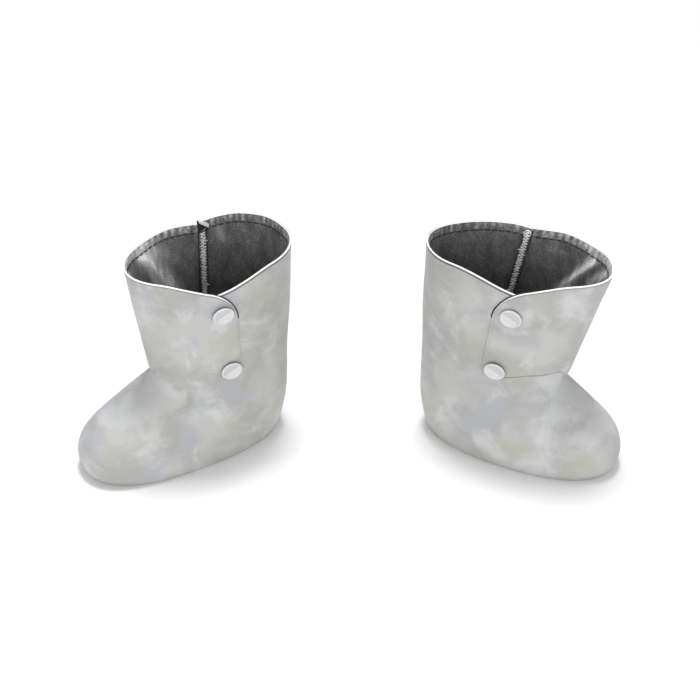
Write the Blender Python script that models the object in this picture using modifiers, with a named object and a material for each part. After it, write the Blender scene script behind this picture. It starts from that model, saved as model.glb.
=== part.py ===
"""A pair of snap-front boot covers, standing apart with the toes turned out.

Every sewn piece is a patch of one cloth surface, which is a loft through rings from the sole
seam, over the foot, through the ankle crease and up the shaft to the rim. A patch is moved out
or in from that surface and given its thickness. Units are metres, with +Z up and -Y towards
the front. The boots are named by the side where they stand when seen from the front.
"""

import math
from collections import namedtuple

import bmesh
import bpy
from mathutils import Matrix, Vector

# Cloth
WALL = 0.0010  # one layer, either the outer cloth or the lining
SEAM_GAP = 0.0003  # between pieces that meet or lie on each other
LAYER_STEP = WALL + SEAM_GAP
SOLE_THICK = 0.0020
SOLE_INSET = WALL + SEAM_GAP  # from the sole seam line to the side of the sole
INSOLE_INSET = SOLE_INSET

# The surface: one row for each ring, from the sole seam up to just under the ankle, then the
# ankle crease and the rim. heel_x and toe_x run along the foot from the heel's centre, the
# toe_flare widens the toe end, and the fullness squares the outline. Both boots have the same
# cut, but the right one's shaft is squashed flatter and leans forward.
Ring = namedtuple("Ring", "heel_x heel_z toe_x toe_z half_width toe_flare fullness")
LEFT_RINGS = (
    Ring(-0.0225, 0.0004, 0.1210, 0.0004, 0.0335, 0.13, 2.40),
    Ring(-0.0260, 0.0070, 0.1260, 0.0070, 0.0355, 0.10, 2.40),
    Ring(-0.0295, 0.0200, 0.1250, 0.0200, 0.0355, 0.05, 2.40),
    Ring(-0.0315, 0.0320, 0.1170, 0.0320, 0.0350, -0.02, 2.35),
    Ring(-0.0320, 0.0440, 0.1005, 0.0440, 0.0350, -0.08, 2.25),
    Ring(-0.0320, 0.0560, 0.0775, 0.0580, 0.0350, -0.05, 2.15),
    Ring(-0.0320, 0.0640, 0.0690, 0.0640, 0.0350, 0.00, 2.10),
    Ring(-0.0353, 0.1537, 0.0788, 0.1528, 0.0396, -0.09, 2.00),
)
RIGHT_RINGS = (
    Ring(-0.0240, 0.0004, 0.1160, 0.0004, 0.0330, 0.08, 2.40),
    Ring(-0.0270, 0.0070, 0.1210, 0.0070, 0.0350, 0.06, 2.40),
    Ring(-0.0290, 0.0200, 0.1210, 0.0200, 0.0350, 0.02, 2.40),
    Ring(-0.0290, 0.0320, 0.1150, 0.0320, 0.0340, -0.02, 2.35),
    Ring(-0.0280, 0.0440, 0.1025, 0.0440, 0.0340, -0.08, 2.25),
    Ring(-0.0280, 0.0560, 0.0850, 0.0580, 0.0340, -0.05, 2.15),
    Ring(-0.0280, 0.0640, 0.0775, 0.0630, 0.0340, 0.00, 2.10),
    Ring(-0.0268, 0.1571, 0.1003, 0.1560, 0.0357, -0.07, 2.00),
)

# The two boots as they stand. The seam and the closure sit a little further round than their
# nominal angles: the seam by one amount at the ankle and another at the rim.
Boot = namedtuple("Boot", "side mirrored toe_out heel_at rings seam_turns closure_turn seam_step")
BOOTS = (
    Boot("left", False, math.radians(62.0), (-0.0747, 0.0200), LEFT_RINGS,
         seam_turns=(math.radians(3.8), math.radians(-3.1)),
         closure_turn=math.radians(1.5), seam_step=0.0020),
    Boot("right", True, math.radians(63.5), (-0.0778, 0.0190), RIGHT_RINGS,
         seam_turns=(math.radians(-1.5), math.radians(4.3)),
         closure_turn=math.radians(-1.5), seam_step=0.0),
)

# The grid of the surface. Angle 0 is the toe, and the closure is on the side of +90 degrees.
# The level is 0 at the sole seam, 1 at the ankle crease and 2 at the rim. The body's shaft has
# two rows up to the top of the underlap, and the rest share what is left up to the rim.
COLUMNS = 40
COLUMN_STEP = math.radians(360.0 / COLUMNS)
FOOT_LEVELS = (0.0, 0.10, 0.1667, 0.25, 0.3333, 0.5, 0.6667, 0.75, 0.8333, 0.92, 1.0)
LINING_FOOT_LEVELS = (0.10, 0.1667, 0.25, 0.3333, 0.5, 0.6667, 0.75, 0.8333, 0.92, 1.0)
UNDERLAP_SHARES = (0.60, 1.0)
SHAFT_SHARES = (0.16, 0.34, 0.52, 0.70, 0.87, 1.0)
PLAIN_RISE = 0.0100  # the underlap's height where the body goes on up as one wall

# The closure
SEAM_ANGLE = math.radians(-98.0)  # where the flap is sewn to the body
CLOSURE_ANGLE = math.radians(79.0)  # where the snaps are
TURN_REACH = math.radians(70.0)  # a turn of the seam or the closure fades out over this angle
BODY_EDGE_COLUMN = 16  # the body's free edge under the flap, counted from the seam
UNDERLAP_COLUMN = 6  # the body rises behind the flap's lower edge from here on
UNDERLAP = (0.0020, 0.0090)  # how far it rises there, where it begins and further on
FLAP_EDGE = math.radians(88.7)  # the flap's free edge
FLAP_LIFT = 2 * LAYER_STEP + 0.0001  # how far the flap rides out over the body
FLAP_LIFT_END = math.radians(-48.0)  # it has risen this far by here, from flush at the seam
FLAP_EDGE_STEPS = (0.0, 1.2, 3.0, 5.4, 8.4, 12.2, 17.0)  # degrees back from the free edge
FLAP_ROWS = 9
FLAP_HEM_CLEAR = 0.0006  # above the ankle crease
FLAP_RISE = 0.0160  # the lower edge climbs this far over the instep
FLAP_RISE_ANGLES = (math.radians(-18.0), math.radians(26.0))
FLAP_FALL = 0.0050  # and comes down again by this much towards the closure
FLAP_FALL_ANGLES = (math.radians(50.0), math.radians(85.0))
UPPER_CORNER_ARC = math.radians(17.0)  # the width of the flap's rounded corners
LOWER_CORNER_ARC = math.radians(9.0)
UPPER_CORNER = 0.0180
LOWER_CORNER = 0.0080
FLAP_DIP = 0.0088  # the rim sags towards the closure
FLAP_DIP_ANGLES = (math.radians(30.0), math.radians(80.0))
BODY_DIP = 0.0130
BODY_DIP_ANGLES = (math.radians(66.0), math.radians(112.0))
SEAM_STEP_REACH = math.radians(28.0)
CREASE_ROUNDING = (0.84, 1.14)  # on the closure's side the ankle has a soft bend between these
CREASE_ROUNDING_ANGLES = (math.radians(-8.0), math.radians(30.0))

# Soft folds in the shaft and over the instep: depth is inwards, so a ridge is negative.
# lean is how far the fold slants, in radians of angle for each level.
Fold = namedtuple("Fold", "angle level half_angle half_level lean depth")
FOLDS = (
    Fold(math.radians(-42), 1.72, 0.20, 0.42, -0.35, 0.0026),
    Fold(math.radians(-68), 1.62, 0.17, 0.36, -0.25, -0.0014),
    Fold(math.radians(-148), 1.55, 0.22, 0.40, 0.15, 0.0016),
    Fold(math.radians(170), 1.45, 0.25, 0.30, 0.10, -0.0010),
    Fold(math.radians(128), 1.30, 0.30, 0.22, 0.20, 0.0012),
    Fold(math.radians(30), 1.45, 0.25, 0.30, -0.20, 0.0010),
    Fold(math.radians(55), 0.86, 0.35, 0.10, 0.0, 0.0008),
    Fold(math.radians(-60), 0.84, 0.40, 0.10, 0.0, 0.0012),
)
SEAM_PINCH = Fold(SEAM_ANGLE, 2.0, 0.12, 0.40, 0.0, 0.0024)

# The overlocked seam allowance inside, and the snaps
STRIP_HALF_ANGLE = math.radians(3.6)
STRIP_THICK = 0.0018
STRIP_TOP_CLEAR = 0.0015
STRIP_ROWS = 12
SNAP_RADIUS = 0.0075
SNAP_HEIGHT = 0.0019
STUD_HEIGHT = 0.0012
SNAP_STEPS = 20
Snap = namedtuple("Snap", "name angle height")
SNAPS = (
    Snap("upper", math.radians(77.3), 0.1275),
    Snap("lower", math.radians(80.3), 0.0810),
)

CLOTH_COLOUR = (0.57, 0.57, 0.55, 1.0)
LINING_COLOUR = (0.055, 0.055, 0.06, 1.0)
STRIP_COLOUR = (0.11, 0.11, 0.115, 1.0)
SNAP_COLOUR = (0.72, 0.72, 0.72, 1.0)


def start_empty():
    """Removes the scene's objects and returns the collection for the pair."""
    for obj in list(bpy.data.objects):
        bpy.data.objects.remove(obj, do_unlink=True)
    pair = bpy.data.collections.new("boot_covers")
    bpy.context.scene.collection.children.link(pair)
    return pair


def make_material(name, colour, roughness):
    """A Principled material of one colour."""
    material = bpy.data.materials.new(name)
    material.use_nodes = True
    shader = material.node_tree.nodes["Principled BSDF"]
    shader.inputs["Base Color"].default_value = colour
    shader.inputs["Roughness"].default_value = roughness
    shader.inputs["Metallic"].default_value = 0.0
    return material


def ease(value, start, end):
    """0 before start and 1 after end, with a smooth change between them."""
    share = min(1.0, max(0.0, (value - start) / (end - start)))
    return share * share * (3.0 - 2.0 * share)


def wrapped(angle):
    """The angle brought into the half turn on each side of the toe."""
    return math.remainder(angle, 2.0 * math.pi)


def rounded_power(value, fullness):
    """A superellipse's coordinate: the sine or cosine, squared up by fullness."""
    return math.copysign(abs(value) ** (2.0 / fullness), value)


def blended_ring(boot, level):
    """The ring at a level: a smooth curve through the foot's rings, straight in the shaft."""
    foot, rim = boot.rings[:-1], boot.rings[-1]
    if level >= 1.0:
        return Ring(*(a + (b - a) * (level - 1.0) for a, b in zip(foot[-1], rim)))
    place = level * (len(foot) - 1)
    at = min(int(place), len(foot) - 2)
    t = place - at
    before, here, there, after = (
        foot[max(at - 1, 0)], foot[at], foot[at + 1], foot[min(at + 2, len(foot) - 1)])
    return Ring(*(
        0.5 * (2 * b + (c - a) * t + (2 * a - 5 * b + 4 * c - d) * t * t
               + (3 * b - a - 3 * c + d) * t ** 3)
        for a, b, c, d in zip(before, here, there, after)))


def turned(boot, angle, level):
    """The angle on the ring of a nominal angle, with this boot's turn of seam and closure."""
    at_ankle, at_rim = boot.seam_turns
    share = max(0.0, level - 1.0)
    to_seam = wrapped(angle - SEAM_ANGLE) / TURN_REACH
    to_closure = wrapped(angle - CLOSURE_ANGLE) / TURN_REACH
    low = ease(level, 0.5, 1.0)
    seam_turn = low * (at_ankle + (at_rim - at_ankle) * share) * (1.0 - ease(abs(to_seam), 0, 1))
    return angle + seam_turn + low * boot.closure_turn * (1.0 - ease(abs(to_closure), 0, 1))


def fold_depth(fold, angle, level):
    """How far one fold takes the cloth in at a place."""
    across = wrapped(angle - fold.angle - fold.lean * (level - fold.level)) / fold.half_angle
    along = (level - fold.level) / fold.half_level
    return fold.depth * math.exp(-across * across - along * along)


def creased_point(boot, angle, level):
    """A point of the surface that keeps a sharp crease at the ankle."""
    ring = blended_ring(boot, level)
    place = turned(boot, angle, level)
    along = rounded_power(math.cos(place), ring.fullness)
    across = rounded_power(math.sin(place), ring.fullness)
    half_length = (ring.toe_x - ring.heel_x) / 2
    middle = (ring.toe_x + ring.heel_x) / 2
    width = ring.half_width * (1.0 + ring.toe_flare * along)
    point = Vector((middle + half_length * along, width * across,
                    ring.heel_z + (ring.toe_z - ring.heel_z) * (along + 1.0) / 2))
    inwards = sum(fold_depth(fold, angle, level) for fold in FOLDS + (SEAM_PINCH,))
    outwards = Vector((math.cos(place) * width, math.sin(place) * half_length, 0.0)).normalized()
    return point - outwards * inwards


def cloth_point(boot, angle, level):
    """A point of the body's outer face in the boot's own frame: +X to the toe, +Y to the closure."""
    point = creased_point(boot, angle, level)
    low, high = CREASE_ROUNDING
    softness = ease(wrapped(angle), *CREASE_ROUNDING_ANGLES)
    if softness == 0.0 or not low < level < high:
        return point
    share = (level - low) / (high - low)
    below, crease, above = (creased_point(boot, angle, at) for at in (low, 1.0, high))
    rounded = below.lerp(crease, share).lerp(crease.lerp(above, share), share)
    return point.lerp(rounded, softness)


def level_at(boot, angle, above_ankle):
    """The shaft's level that lies this far above the ankle crease."""
    return 1.0 + above_ankle / shaft_height(boot, angle)


def shaft_height(boot, angle):
    """The height from the ankle crease to the rim's plane, at an angle."""
    ankle, rim = boot.rings[-2:]
    forward = (math.cos(angle) + 1.0) / 2
    ankle_z = ankle.heel_z + (ankle.toe_z - ankle.heel_z) * forward
    rim_z = rim.heel_z + (rim.toe_z - rim.heel_z) * forward
    return rim_z - ankle_z


def corner_drop(angle, arc, depth):
    """How far a rounded corner of the flap has turned away from its straight edge."""
    share = min(1.0, max(0.0, (angle - (FLAP_EDGE - arc)) / arc))
    return depth * (1.0 - math.sqrt(1.0 - share * share))


def flap_top(boot, angle):
    """The level of the flap's upper edge."""
    drop = FLAP_DIP * ease(angle, *FLAP_DIP_ANGLES)
    drop += corner_drop(angle, UPPER_CORNER_ARC, UPPER_CORNER)
    drop += boot.seam_step * (1.0 - ease(angle, SEAM_ANGLE, SEAM_ANGLE + SEAM_STEP_REACH))
    return level_at(boot, angle, shaft_height(boot, angle) - drop)


def flap_hem(angle):
    """The height of the flap's lower edge over the ankle crease, without its rounded corner."""
    return (FLAP_HEM_CLEAR + FLAP_RISE * ease(angle, *FLAP_RISE_ANGLES)
            - FLAP_FALL * ease(angle, *FLAP_FALL_ANGLES))


def flap_bottom(boot, angle):
    """The level of the flap's lower edge."""
    return level_at(boot, angle, flap_hem(angle) + corner_drop(angle, LOWER_CORNER_ARC, LOWER_CORNER))


def underlap_top(boot, angle):
    """The level of the body's edge behind the flap's lower edge, and of a plain row elsewhere."""
    least, most = UNDERLAP
    angle = wrapped(angle)
    behind = flap_hem(angle) + least + (most - least) * ease(angle, SEAM_ANGLE / 2, FLAP_RISE_ANGLES[0])
    under_flap = 1.0 - ease(abs(angle), CLOSURE_ANGLE, math.radians(150))
    return level_at(boot, angle, PLAIN_RISE + (behind - PLAIN_RISE) * under_flap)


def body_top(boot, angle):
    """The level of the body's upper edge, which sags towards its free edge under the flap."""
    angle = wrapped(angle)
    drop = BODY_DIP * ease(angle, SEAM_ANGLE / 2, 0.0) * (1.0 - ease(angle, *BODY_DIP_ANGLES))
    return level_at(boot, angle, shaft_height(boot, angle) - drop)


def flap_lift(angle):
    """How far the flap rides out from the surface: flush at the seam, clear over the body."""
    return FLAP_LIFT * ease(angle, SEAM_ANGLE, FLAP_LIFT_END)


def standing(boot, point):
    """A point of the boot's own frame in the pair's frame."""
    sine, cosine = math.sin(boot.toe_out), math.cos(boot.toe_out)
    x = boot.heel_at[0] - sine * point.x + cosine * point.y
    y = boot.heel_at[1] - cosine * point.x - sine * point.y
    return Vector((-x if boot.mirrored else x, y, point.z))


def grid_patch(columns, rows, place):
    """A bmesh grid whose corner of each column and row is moved to place(column, row)."""
    bm = bmesh.new()
    bmesh.ops.create_grid(bm, x_segments=columns, y_segments=rows, size=0.5)
    column_of = bm.verts.layers.int.new("column")
    row_of = bm.verts.layers.int.new("row")
    for vert in bm.verts:
        vert[column_of] = round((vert.co.x + 0.5) * columns)
        vert[row_of] = round((vert.co.y + 0.5) * rows)
        vert.co = place(vert[column_of], vert[row_of])
    return bm


def remember_out(bm, centre):
    """Stores at each vertex the step that moves the whole surface out by one metre."""
    bmesh.ops.remove_doubles(bm, verts=bm.verts, dist=1e-7)
    bmesh.ops.recalc_face_normals(bm, faces=bm.faces)
    bm.normal_update()
    facing = sum(face.normal.dot(face.calc_center_median() - centre) for face in bm.faces)
    if facing < 0:
        bmesh.ops.reverse_faces(bm, faces=bm.faces)
        bm.normal_update()
    out = bm.verts.layers.float_vector.new("out")
    for vert in bm.verts:
        vert[out] = vert.normal * min(vert.calc_shell_factor(), 1.4)
    return out


def thicken(bm, out, outer, inner):
    """Makes the open surface a closed wall between two offsets from it."""
    made = bmesh.ops.extrude_face_region(bm, geom=list(bm.faces))
    moved = {item for item in made["geom"] if isinstance(item, bmesh.types.BMVert)}
    for vert in bm.verts:
        vert.co += vert[out] * (inner if vert in moved else outer)


def finish_piece(boot, bm, name, material, collection):
    """Stands a piece of one boot in the pair's frame and makes it a named object."""
    for vert in bm.verts:
        vert.co = standing(boot, vert.co)
    bmesh.ops.recalc_face_normals(bm, faces=bm.faces)
    if bm.calc_volume(signed=True) < 0.0:
        bmesh.ops.reverse_faces(bm, faces=bm.faces)
    mesh = bpy.data.meshes.new(f"{boot.side}_{name}")
    bm.to_mesh(mesh)
    bm.free()
    mesh.shade_smooth()
    mesh.set_sharp_from_angle(angle=math.radians(40))
    mesh.materials.append(material)
    obj = bpy.data.objects.new(mesh.name, mesh)
    collection.objects.link(obj)
    return obj


def middle_of(boot):
    """A point inside the boot, which every outward face looks away from."""
    ankle = boot.rings[-2]
    return Vector(((ankle.heel_x + ankle.toe_x) / 2, 0.0, ankle.heel_z))


def body_surface(boot, foot_levels):
    """The whole tube from the sole seam to the rim, with the flap's window cut out of it."""
    ankle_row = len(foot_levels) - 1

    def place(column, row):
        angle = SEAM_ANGLE + column * COLUMN_STEP
        if row <= ankle_row:
            return cloth_point(boot, angle, foot_levels[row])
        row -= ankle_row + 1
        low, high = underlap_top(boot, angle), body_top(boot, angle)
        if row < len(UNDERLAP_SHARES):
            return cloth_point(boot, angle, 1.0 + (low - 1.0) * UNDERLAP_SHARES[row])
        share = SHAFT_SHARES[row - len(UNDERLAP_SHARES)]
        return cloth_point(boot, angle, low + (high - low) * share)

    rows = ankle_row + len(UNDERLAP_SHARES) + len(SHAFT_SHARES)
    bm = grid_patch(COLUMNS, rows, place)
    column_of, row_of = bm.verts.layers.int["column"], bm.verts.layers.int["row"]
    window = bm.faces.layers.int.new("window")
    for face in bm.faces:
        column = min(vert[column_of] for vert in face.verts)
        row = min(vert[row_of] for vert in face.verts)
        face[window] = in_window(column, row - ankle_row)
    out = remember_out(bm, middle_of(boot))
    bmesh.ops.delete(bm, geom=[face for face in bm.faces if face[window]], context="FACES")
    return bm, out


def in_window(column, row_over_ankle):
    """Whether a face of the body's tube is left out, where only the flap covers the leg."""
    underlap_rows = len(UNDERLAP_SHARES) if column >= UNDERLAP_COLUMN else 0
    return column < BODY_EDGE_COLUMN and row_over_ankle >= underlap_rows


def make_body(boot, collection, cloth, lining):
    """The body's outer cloth and its lining, each one wall."""
    bm, out = body_surface(boot, FOOT_LEVELS)
    thicken(bm, out, 0.0, -WALL)
    finish_piece(boot, bm, "body", cloth, collection)
    bm, out = body_surface(boot, LINING_FOOT_LEVELS)
    thicken(bm, out, -LAYER_STEP, -LAYER_STEP - WALL)
    finish_piece(boot, bm, "body_lining", lining, collection)


def flap_angles(boot):
    """The columns of the flap: the body's own, then closer ones round the flap's corners."""
    ankle = boot.rings[-2]
    edge = [FLAP_EDGE - math.radians(step) for step in reversed(FLAP_EDGE_STEPS)]
    start = SEAM_ANGLE + SEAM_GAP / ankle.half_width
    columns = [SEAM_ANGLE + i * COLUMN_STEP for i in range(1, COLUMNS)]
    return [start] + [angle for angle in columns if angle < edge[0] - COLUMN_STEP / 3] + edge


def flap_surface(boot):
    """The flap, from the seam round the front to its free edge with two rounded corners."""
    angles = flap_angles(boot)

    def place(column, row):
        angle = angles[column]
        bottom, top = flap_bottom(boot, angle), flap_top(boot, angle)
        return cloth_point(boot, angle, bottom + (top - bottom) * row / FLAP_ROWS)

    bm = grid_patch(len(angles) - 1, FLAP_ROWS, place)
    out = remember_out(bm, middle_of(boot))
    column_of = bm.verts.layers.int["column"]
    for vert in bm.verts:
        vert.co += vert[out] * flap_lift(angles[vert[column_of]])
    return bm, out


def make_flap(boot, collection, cloth, lining):
    """The flap's outer cloth and its lining."""
    bm, out = flap_surface(boot)
    thicken(bm, out, 0.0, -WALL)
    finish_piece(boot, bm, "flap", cloth, collection)
    bm, out = flap_surface(boot)
    thicken(bm, out, -LAYER_STEP, -LAYER_STEP - WALL)
    finish_piece(boot, bm, "flap_lining", lining, collection)


def make_plate(boot, name, level, inset, bottom, thick, material, collection):
    """A flat piece with the sole's outline, drawn in by inset."""
    bm = bmesh.new()
    outline = [cloth_point(boot, i * COLUMN_STEP, level) for i in range(COLUMNS)]
    for i, point in enumerate(outline):
        along = outline[(i + 1) % COLUMNS] - outline[i - 1]
        inwards = Vector((-along.y, along.x, 0.0)).normalized()
        flat = point + inwards * inset
        bm.verts.new((flat.x, flat.y, bottom))
    face = bm.faces.new(bm.verts)
    raised = bmesh.ops.extrude_face_region(bm, geom=[face])
    for item in raised["geom"]:
        if isinstance(item, bmesh.types.BMVert):
            item.co.z += thick
    finish_piece(boot, bm, name, material, collection)


def make_strip(boot, collection, material):
    """The overlocked seam allowance, which lies on the lining along the side seam."""
    top = level_at(boot, SEAM_ANGLE, shaft_height(boot, SEAM_ANGLE) - STRIP_TOP_CLEAR)

    def place(column, row):
        angle = SEAM_ANGLE + (column - 1) * STRIP_HALF_ANGLE
        return cloth_point(boot, angle, 1.0 + (top - 1.0) * row / STRIP_ROWS)

    bm = grid_patch(2, STRIP_ROWS, place)
    out = remember_out(bm, middle_of(boot))
    outer = -2 * LAYER_STEP - SEAM_GAP
    thicken(bm, out, outer, outer - STRIP_THICK)
    finish_piece(boot, bm, "seam_allowance", material, collection)


def surface_frame(boot, angle, level):
    """A point of the surface and its outward direction, both in the pair's frame."""
    step = 0.01
    point = cloth_point(boot, angle, level)
    around = cloth_point(boot, angle + step, level) - cloth_point(boot, angle - step, level)
    up = cloth_point(boot, angle, level + step) - cloth_point(boot, angle, level - step)
    out = around.cross(up).normalized()
    end = standing(boot, point + out)
    point = standing(boot, point)
    return point, (end - point).normalized()


def make_button(name, centre, facing, height, material, collection):
    """A round snap cap, turned about the direction that it faces."""
    r, h = SNAP_RADIUS, height
    profile = [(0.0, h), (0.55 * r, 0.94 * h), (0.86 * r, 0.74 * h), (0.98 * r, 0.40 * h),
               (r, 0.18 * h), (0.95 * r, 0.0), (0.0, 0.0)]
    bm = bmesh.new()
    verts = [bm.verts.new((x, 0.0, z)) for x, z in profile]
    for first, second in zip(verts, verts[1:]):
        bm.edges.new((first, second))
    mesh = bpy.data.meshes.new(name)
    bm.to_mesh(mesh)
    bm.free()
    mesh.materials.append(material)
    obj = bpy.data.objects.new(name, mesh)
    collection.objects.link(obj)
    screw = obj.modifiers.new("Turned", "SCREW")
    screw.axis = "Z"
    screw.steps = screw.render_steps = SNAP_STEPS
    screw.use_merge_vertices = True
    screw.merge_threshold = 0.00001
    screw.use_smooth_shade = True
    turn = facing.to_track_quat("Z", "Y").to_matrix().to_4x4()
    obj.matrix_world = Matrix.Translation(centre) @ turn
    return obj


def make_snaps(boot, collection, material):
    """Each snap's cap on the flap, and its stud's cap on the lining behind."""
    for snap in SNAPS:
        level = level_at(boot, snap.angle, snap.height - boot.rings[-2].heel_z)
        point, out = surface_frame(boot, snap.angle, level)
        cap_at = point + out * (flap_lift(snap.angle) + SEAM_GAP)
        stud_at = point - out * (2 * LAYER_STEP + SEAM_GAP)
        make_button(f"{boot.side}_snap_{snap.name}", cap_at, out, SNAP_HEIGHT, material, collection)
        make_button(f"{boot.side}_stud_{snap.name}", stud_at, -out, STUD_HEIGHT, material, collection)


def build_pair():
    """Makes both boot covers."""
    collection = start_empty()
    cloth = make_material("printed_cloth", CLOTH_COLOUR, 0.75)
    lining = make_material("dark_lining", LINING_COLOUR, 0.9)
    strip = make_material("overlock_thread", STRIP_COLOUR, 0.85)
    snap = make_material("snap_plastic", SNAP_COLOUR, 0.35)
    for boot in BOOTS:
        make_body(boot, collection, cloth, lining)
        make_flap(boot, collection, cloth, lining)
        make_plate(boot, "sole", 0.0, SOLE_INSET, 0.0, SOLE_THICK, cloth, collection)
        make_plate(boot, "insole", 0.0, INSOLE_INSET, SOLE_THICK + SEAM_GAP, WALL, lining, collection)
        make_strip(boot, collection, strip)
        make_snaps(boot, collection, snap)


build_pair()
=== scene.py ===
"""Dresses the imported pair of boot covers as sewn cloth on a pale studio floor.

Each cover is one cloth surface, lofted through rings from the sole seam, over the foot, through
the ankle crease and up the shaft to the rim. The outer cloth, the lining, the wrap-over front
flap and the sewing all lie on that surface, moved out or in from it. Units are metres, +Z is up
and -Y is towards the front.
"""

import logging
import math
from dataclasses import dataclass, field
from enum import Enum
from typing import Callable, Iterable, Sequence

import bmesh
import bpy
from mathutils import Matrix, Vector, noise


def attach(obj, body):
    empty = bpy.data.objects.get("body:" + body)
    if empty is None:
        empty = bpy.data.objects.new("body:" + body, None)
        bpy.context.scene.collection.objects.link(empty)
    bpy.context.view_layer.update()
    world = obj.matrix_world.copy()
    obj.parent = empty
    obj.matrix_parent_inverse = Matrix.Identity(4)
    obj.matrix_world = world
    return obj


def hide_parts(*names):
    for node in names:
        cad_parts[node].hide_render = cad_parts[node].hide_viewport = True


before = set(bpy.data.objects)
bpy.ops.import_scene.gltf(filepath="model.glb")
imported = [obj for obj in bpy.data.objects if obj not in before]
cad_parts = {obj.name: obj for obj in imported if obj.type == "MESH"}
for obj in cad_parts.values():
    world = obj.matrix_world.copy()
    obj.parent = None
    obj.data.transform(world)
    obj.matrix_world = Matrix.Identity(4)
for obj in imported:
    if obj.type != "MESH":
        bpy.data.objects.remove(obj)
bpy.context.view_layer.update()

LOG = logging.getLogger("boot_covers")
MM = 0.001
UV_SPAN = 0.5  # one unit of the cloth's UV map, in metres
SHAFT_RADIUS = 47.0 * MM  # the shaft's girth over two pi, which sets the UV map's width


class Side(Enum):
    """Which cover of the pair, as seen from the front."""

    LEFT = "left"
    RIGHT = "right"


class Held(Enum):
    """How a cut piece of cloth is held in the sewn cover."""

    FOLDED = "folded"
    LAID = "laid"


@dataclass(frozen=True)
class Ring:
    """One closed line of the cloth surface, in the cover's own frame with +X to the toe."""

    heel_x: float
    heel_z: float
    toe_x: float
    toe_z: float
    half_width: float
    toe_flare: float
    fullness: float


@dataclass(frozen=True)
class Fold:
    """A soft fold: depth is inwards, and lean slants it by radians of angle for each level."""

    angle: float
    level: float
    half_angle: float
    half_level: float
    lean: float
    depth: float

    def depth_at(self, angle: float, level: float) -> float:
        """Gives how far this fold takes the cloth in at a place."""
        across = wrapped(angle - self.angle - self.lean * (level - self.level)) / self.half_angle
        along = (level - self.level) / self.half_level
        return self.depth * math.exp(-across * across - along * along)


@dataclass(frozen=True)
class RimWave:
    """A stretch of the rim that stands higher or lower than its plane.

    It starts and ends softly. Its four turns are in degrees from the toe, by way of the closure.
    """

    start: float
    full: float
    fade: float
    end: float
    height: float

    def at(self, angle: float) -> float:
        """Gives the height of the wave at an angle."""
        turn = math.degrees(angle) % 360.0
        return (self.height * ease(turn, self.start, self.full)
                * (1.0 - ease(turn, self.fade, self.end)))


@dataclass(frozen=True)
class SnapPlace:
    """Where one snap goes through the closure, and the slope of its cap's nod."""

    name: str
    angle: float
    z: float
    nod: float


@dataclass(frozen=True)
class NapHighlightBand:
    """A slanting band of painted highlight where a fold of the lining catches the light.

    It starts and ends at an angle in degrees and a depth under the rim.
    """

    start: tuple[float, float]
    end: tuple[float, float]
    half_width: float
    strength: float

    def share_at(self, angle: float, below_rim: float) -> float:
        """Gives how much painted highlight this band puts on the nap at a place."""
        here = Vector((angle * SHAFT_RADIUS, below_rim))
        first, last = (Vector((math.radians(turn) * SHAFT_RADIUS, depth))
                       for turn, depth in (self.start, self.end))
        run = last - first
        along = min(1.0, max(0.0, (here - first).dot(run) / run.length_squared))
        return self.strength * bump_at((here - first - run * along).length, 0.0, self.half_width)


def folds(*rows: tuple[float, ...]) -> tuple[Fold, ...]:
    """Makes folds from the fields of Fold, with the angle in degrees and the depth in mm."""
    return tuple(Fold(math.radians(row[0]), *row[1:5], row[5] * MM) for row in rows)


def nap_highlight_bands(*rows: tuple[float, ...]) -> tuple[NapHighlightBand, ...]:
    """Makes bands from two places, a half width and a strength, with lengths in mm."""
    return tuple(NapHighlightBand((row[0], row[1] * MM), (row[2], row[3] * MM), row[4] * MM, row[5])
                 for row in rows)


LEFT_RINGS = (
    Ring(-0.0200, 0.0004, 0.1208, 0.0004, 0.0335, 0.12, 2.38),
    Ring(-0.0235, 0.0070, 0.1262, 0.0070, 0.0355, 0.09, 2.38),
    Ring(-0.0268, 0.0200, 0.1259, 0.0200, 0.0355, 0.05, 2.40),
    Ring(-0.0288, 0.0320, 0.1187, 0.0320, 0.0350, -0.02, 2.35),
    Ring(-0.0294, 0.0440, 0.1004, 0.0440, 0.0350, -0.08, 2.25),
    Ring(-0.0296, 0.0560, 0.0742, 0.0580, 0.0350, -0.05, 2.15),
    Ring(-0.0298, 0.0640, 0.0674, 0.0640, 0.0350, 0.00, 2.10),
    Ring(-0.0353, 0.1537, 0.0810, 0.1528, 0.0396, -0.09, 2.00),
)
RIGHT_RINGS = (
    Ring(-0.0205, 0.0004, 0.1155, 0.0004, 0.0325, 0.05, 2.25),
    Ring(-0.0236, 0.0070, 0.1205, 0.0070, 0.0345, 0.03, 2.25),
    Ring(-0.0262, 0.0200, 0.1208, 0.0200, 0.0348, 0.01, 2.30),
    Ring(-0.0274, 0.0320, 0.1148, 0.0320, 0.0340, -0.02, 2.35),
    Ring(-0.0272, 0.0440, 0.1004, 0.0440, 0.0340, -0.08, 2.25),
    Ring(-0.0272, 0.0560, 0.0802, 0.0580, 0.0340, -0.05, 2.15),
    Ring(-0.0272, 0.0640, 0.0759, 0.0630, 0.0340, 0.00, 2.10),
    Ring(-0.0268, 0.1571, 0.1022, 0.1560, 0.0357, -0.07, 2.00),
)

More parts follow.
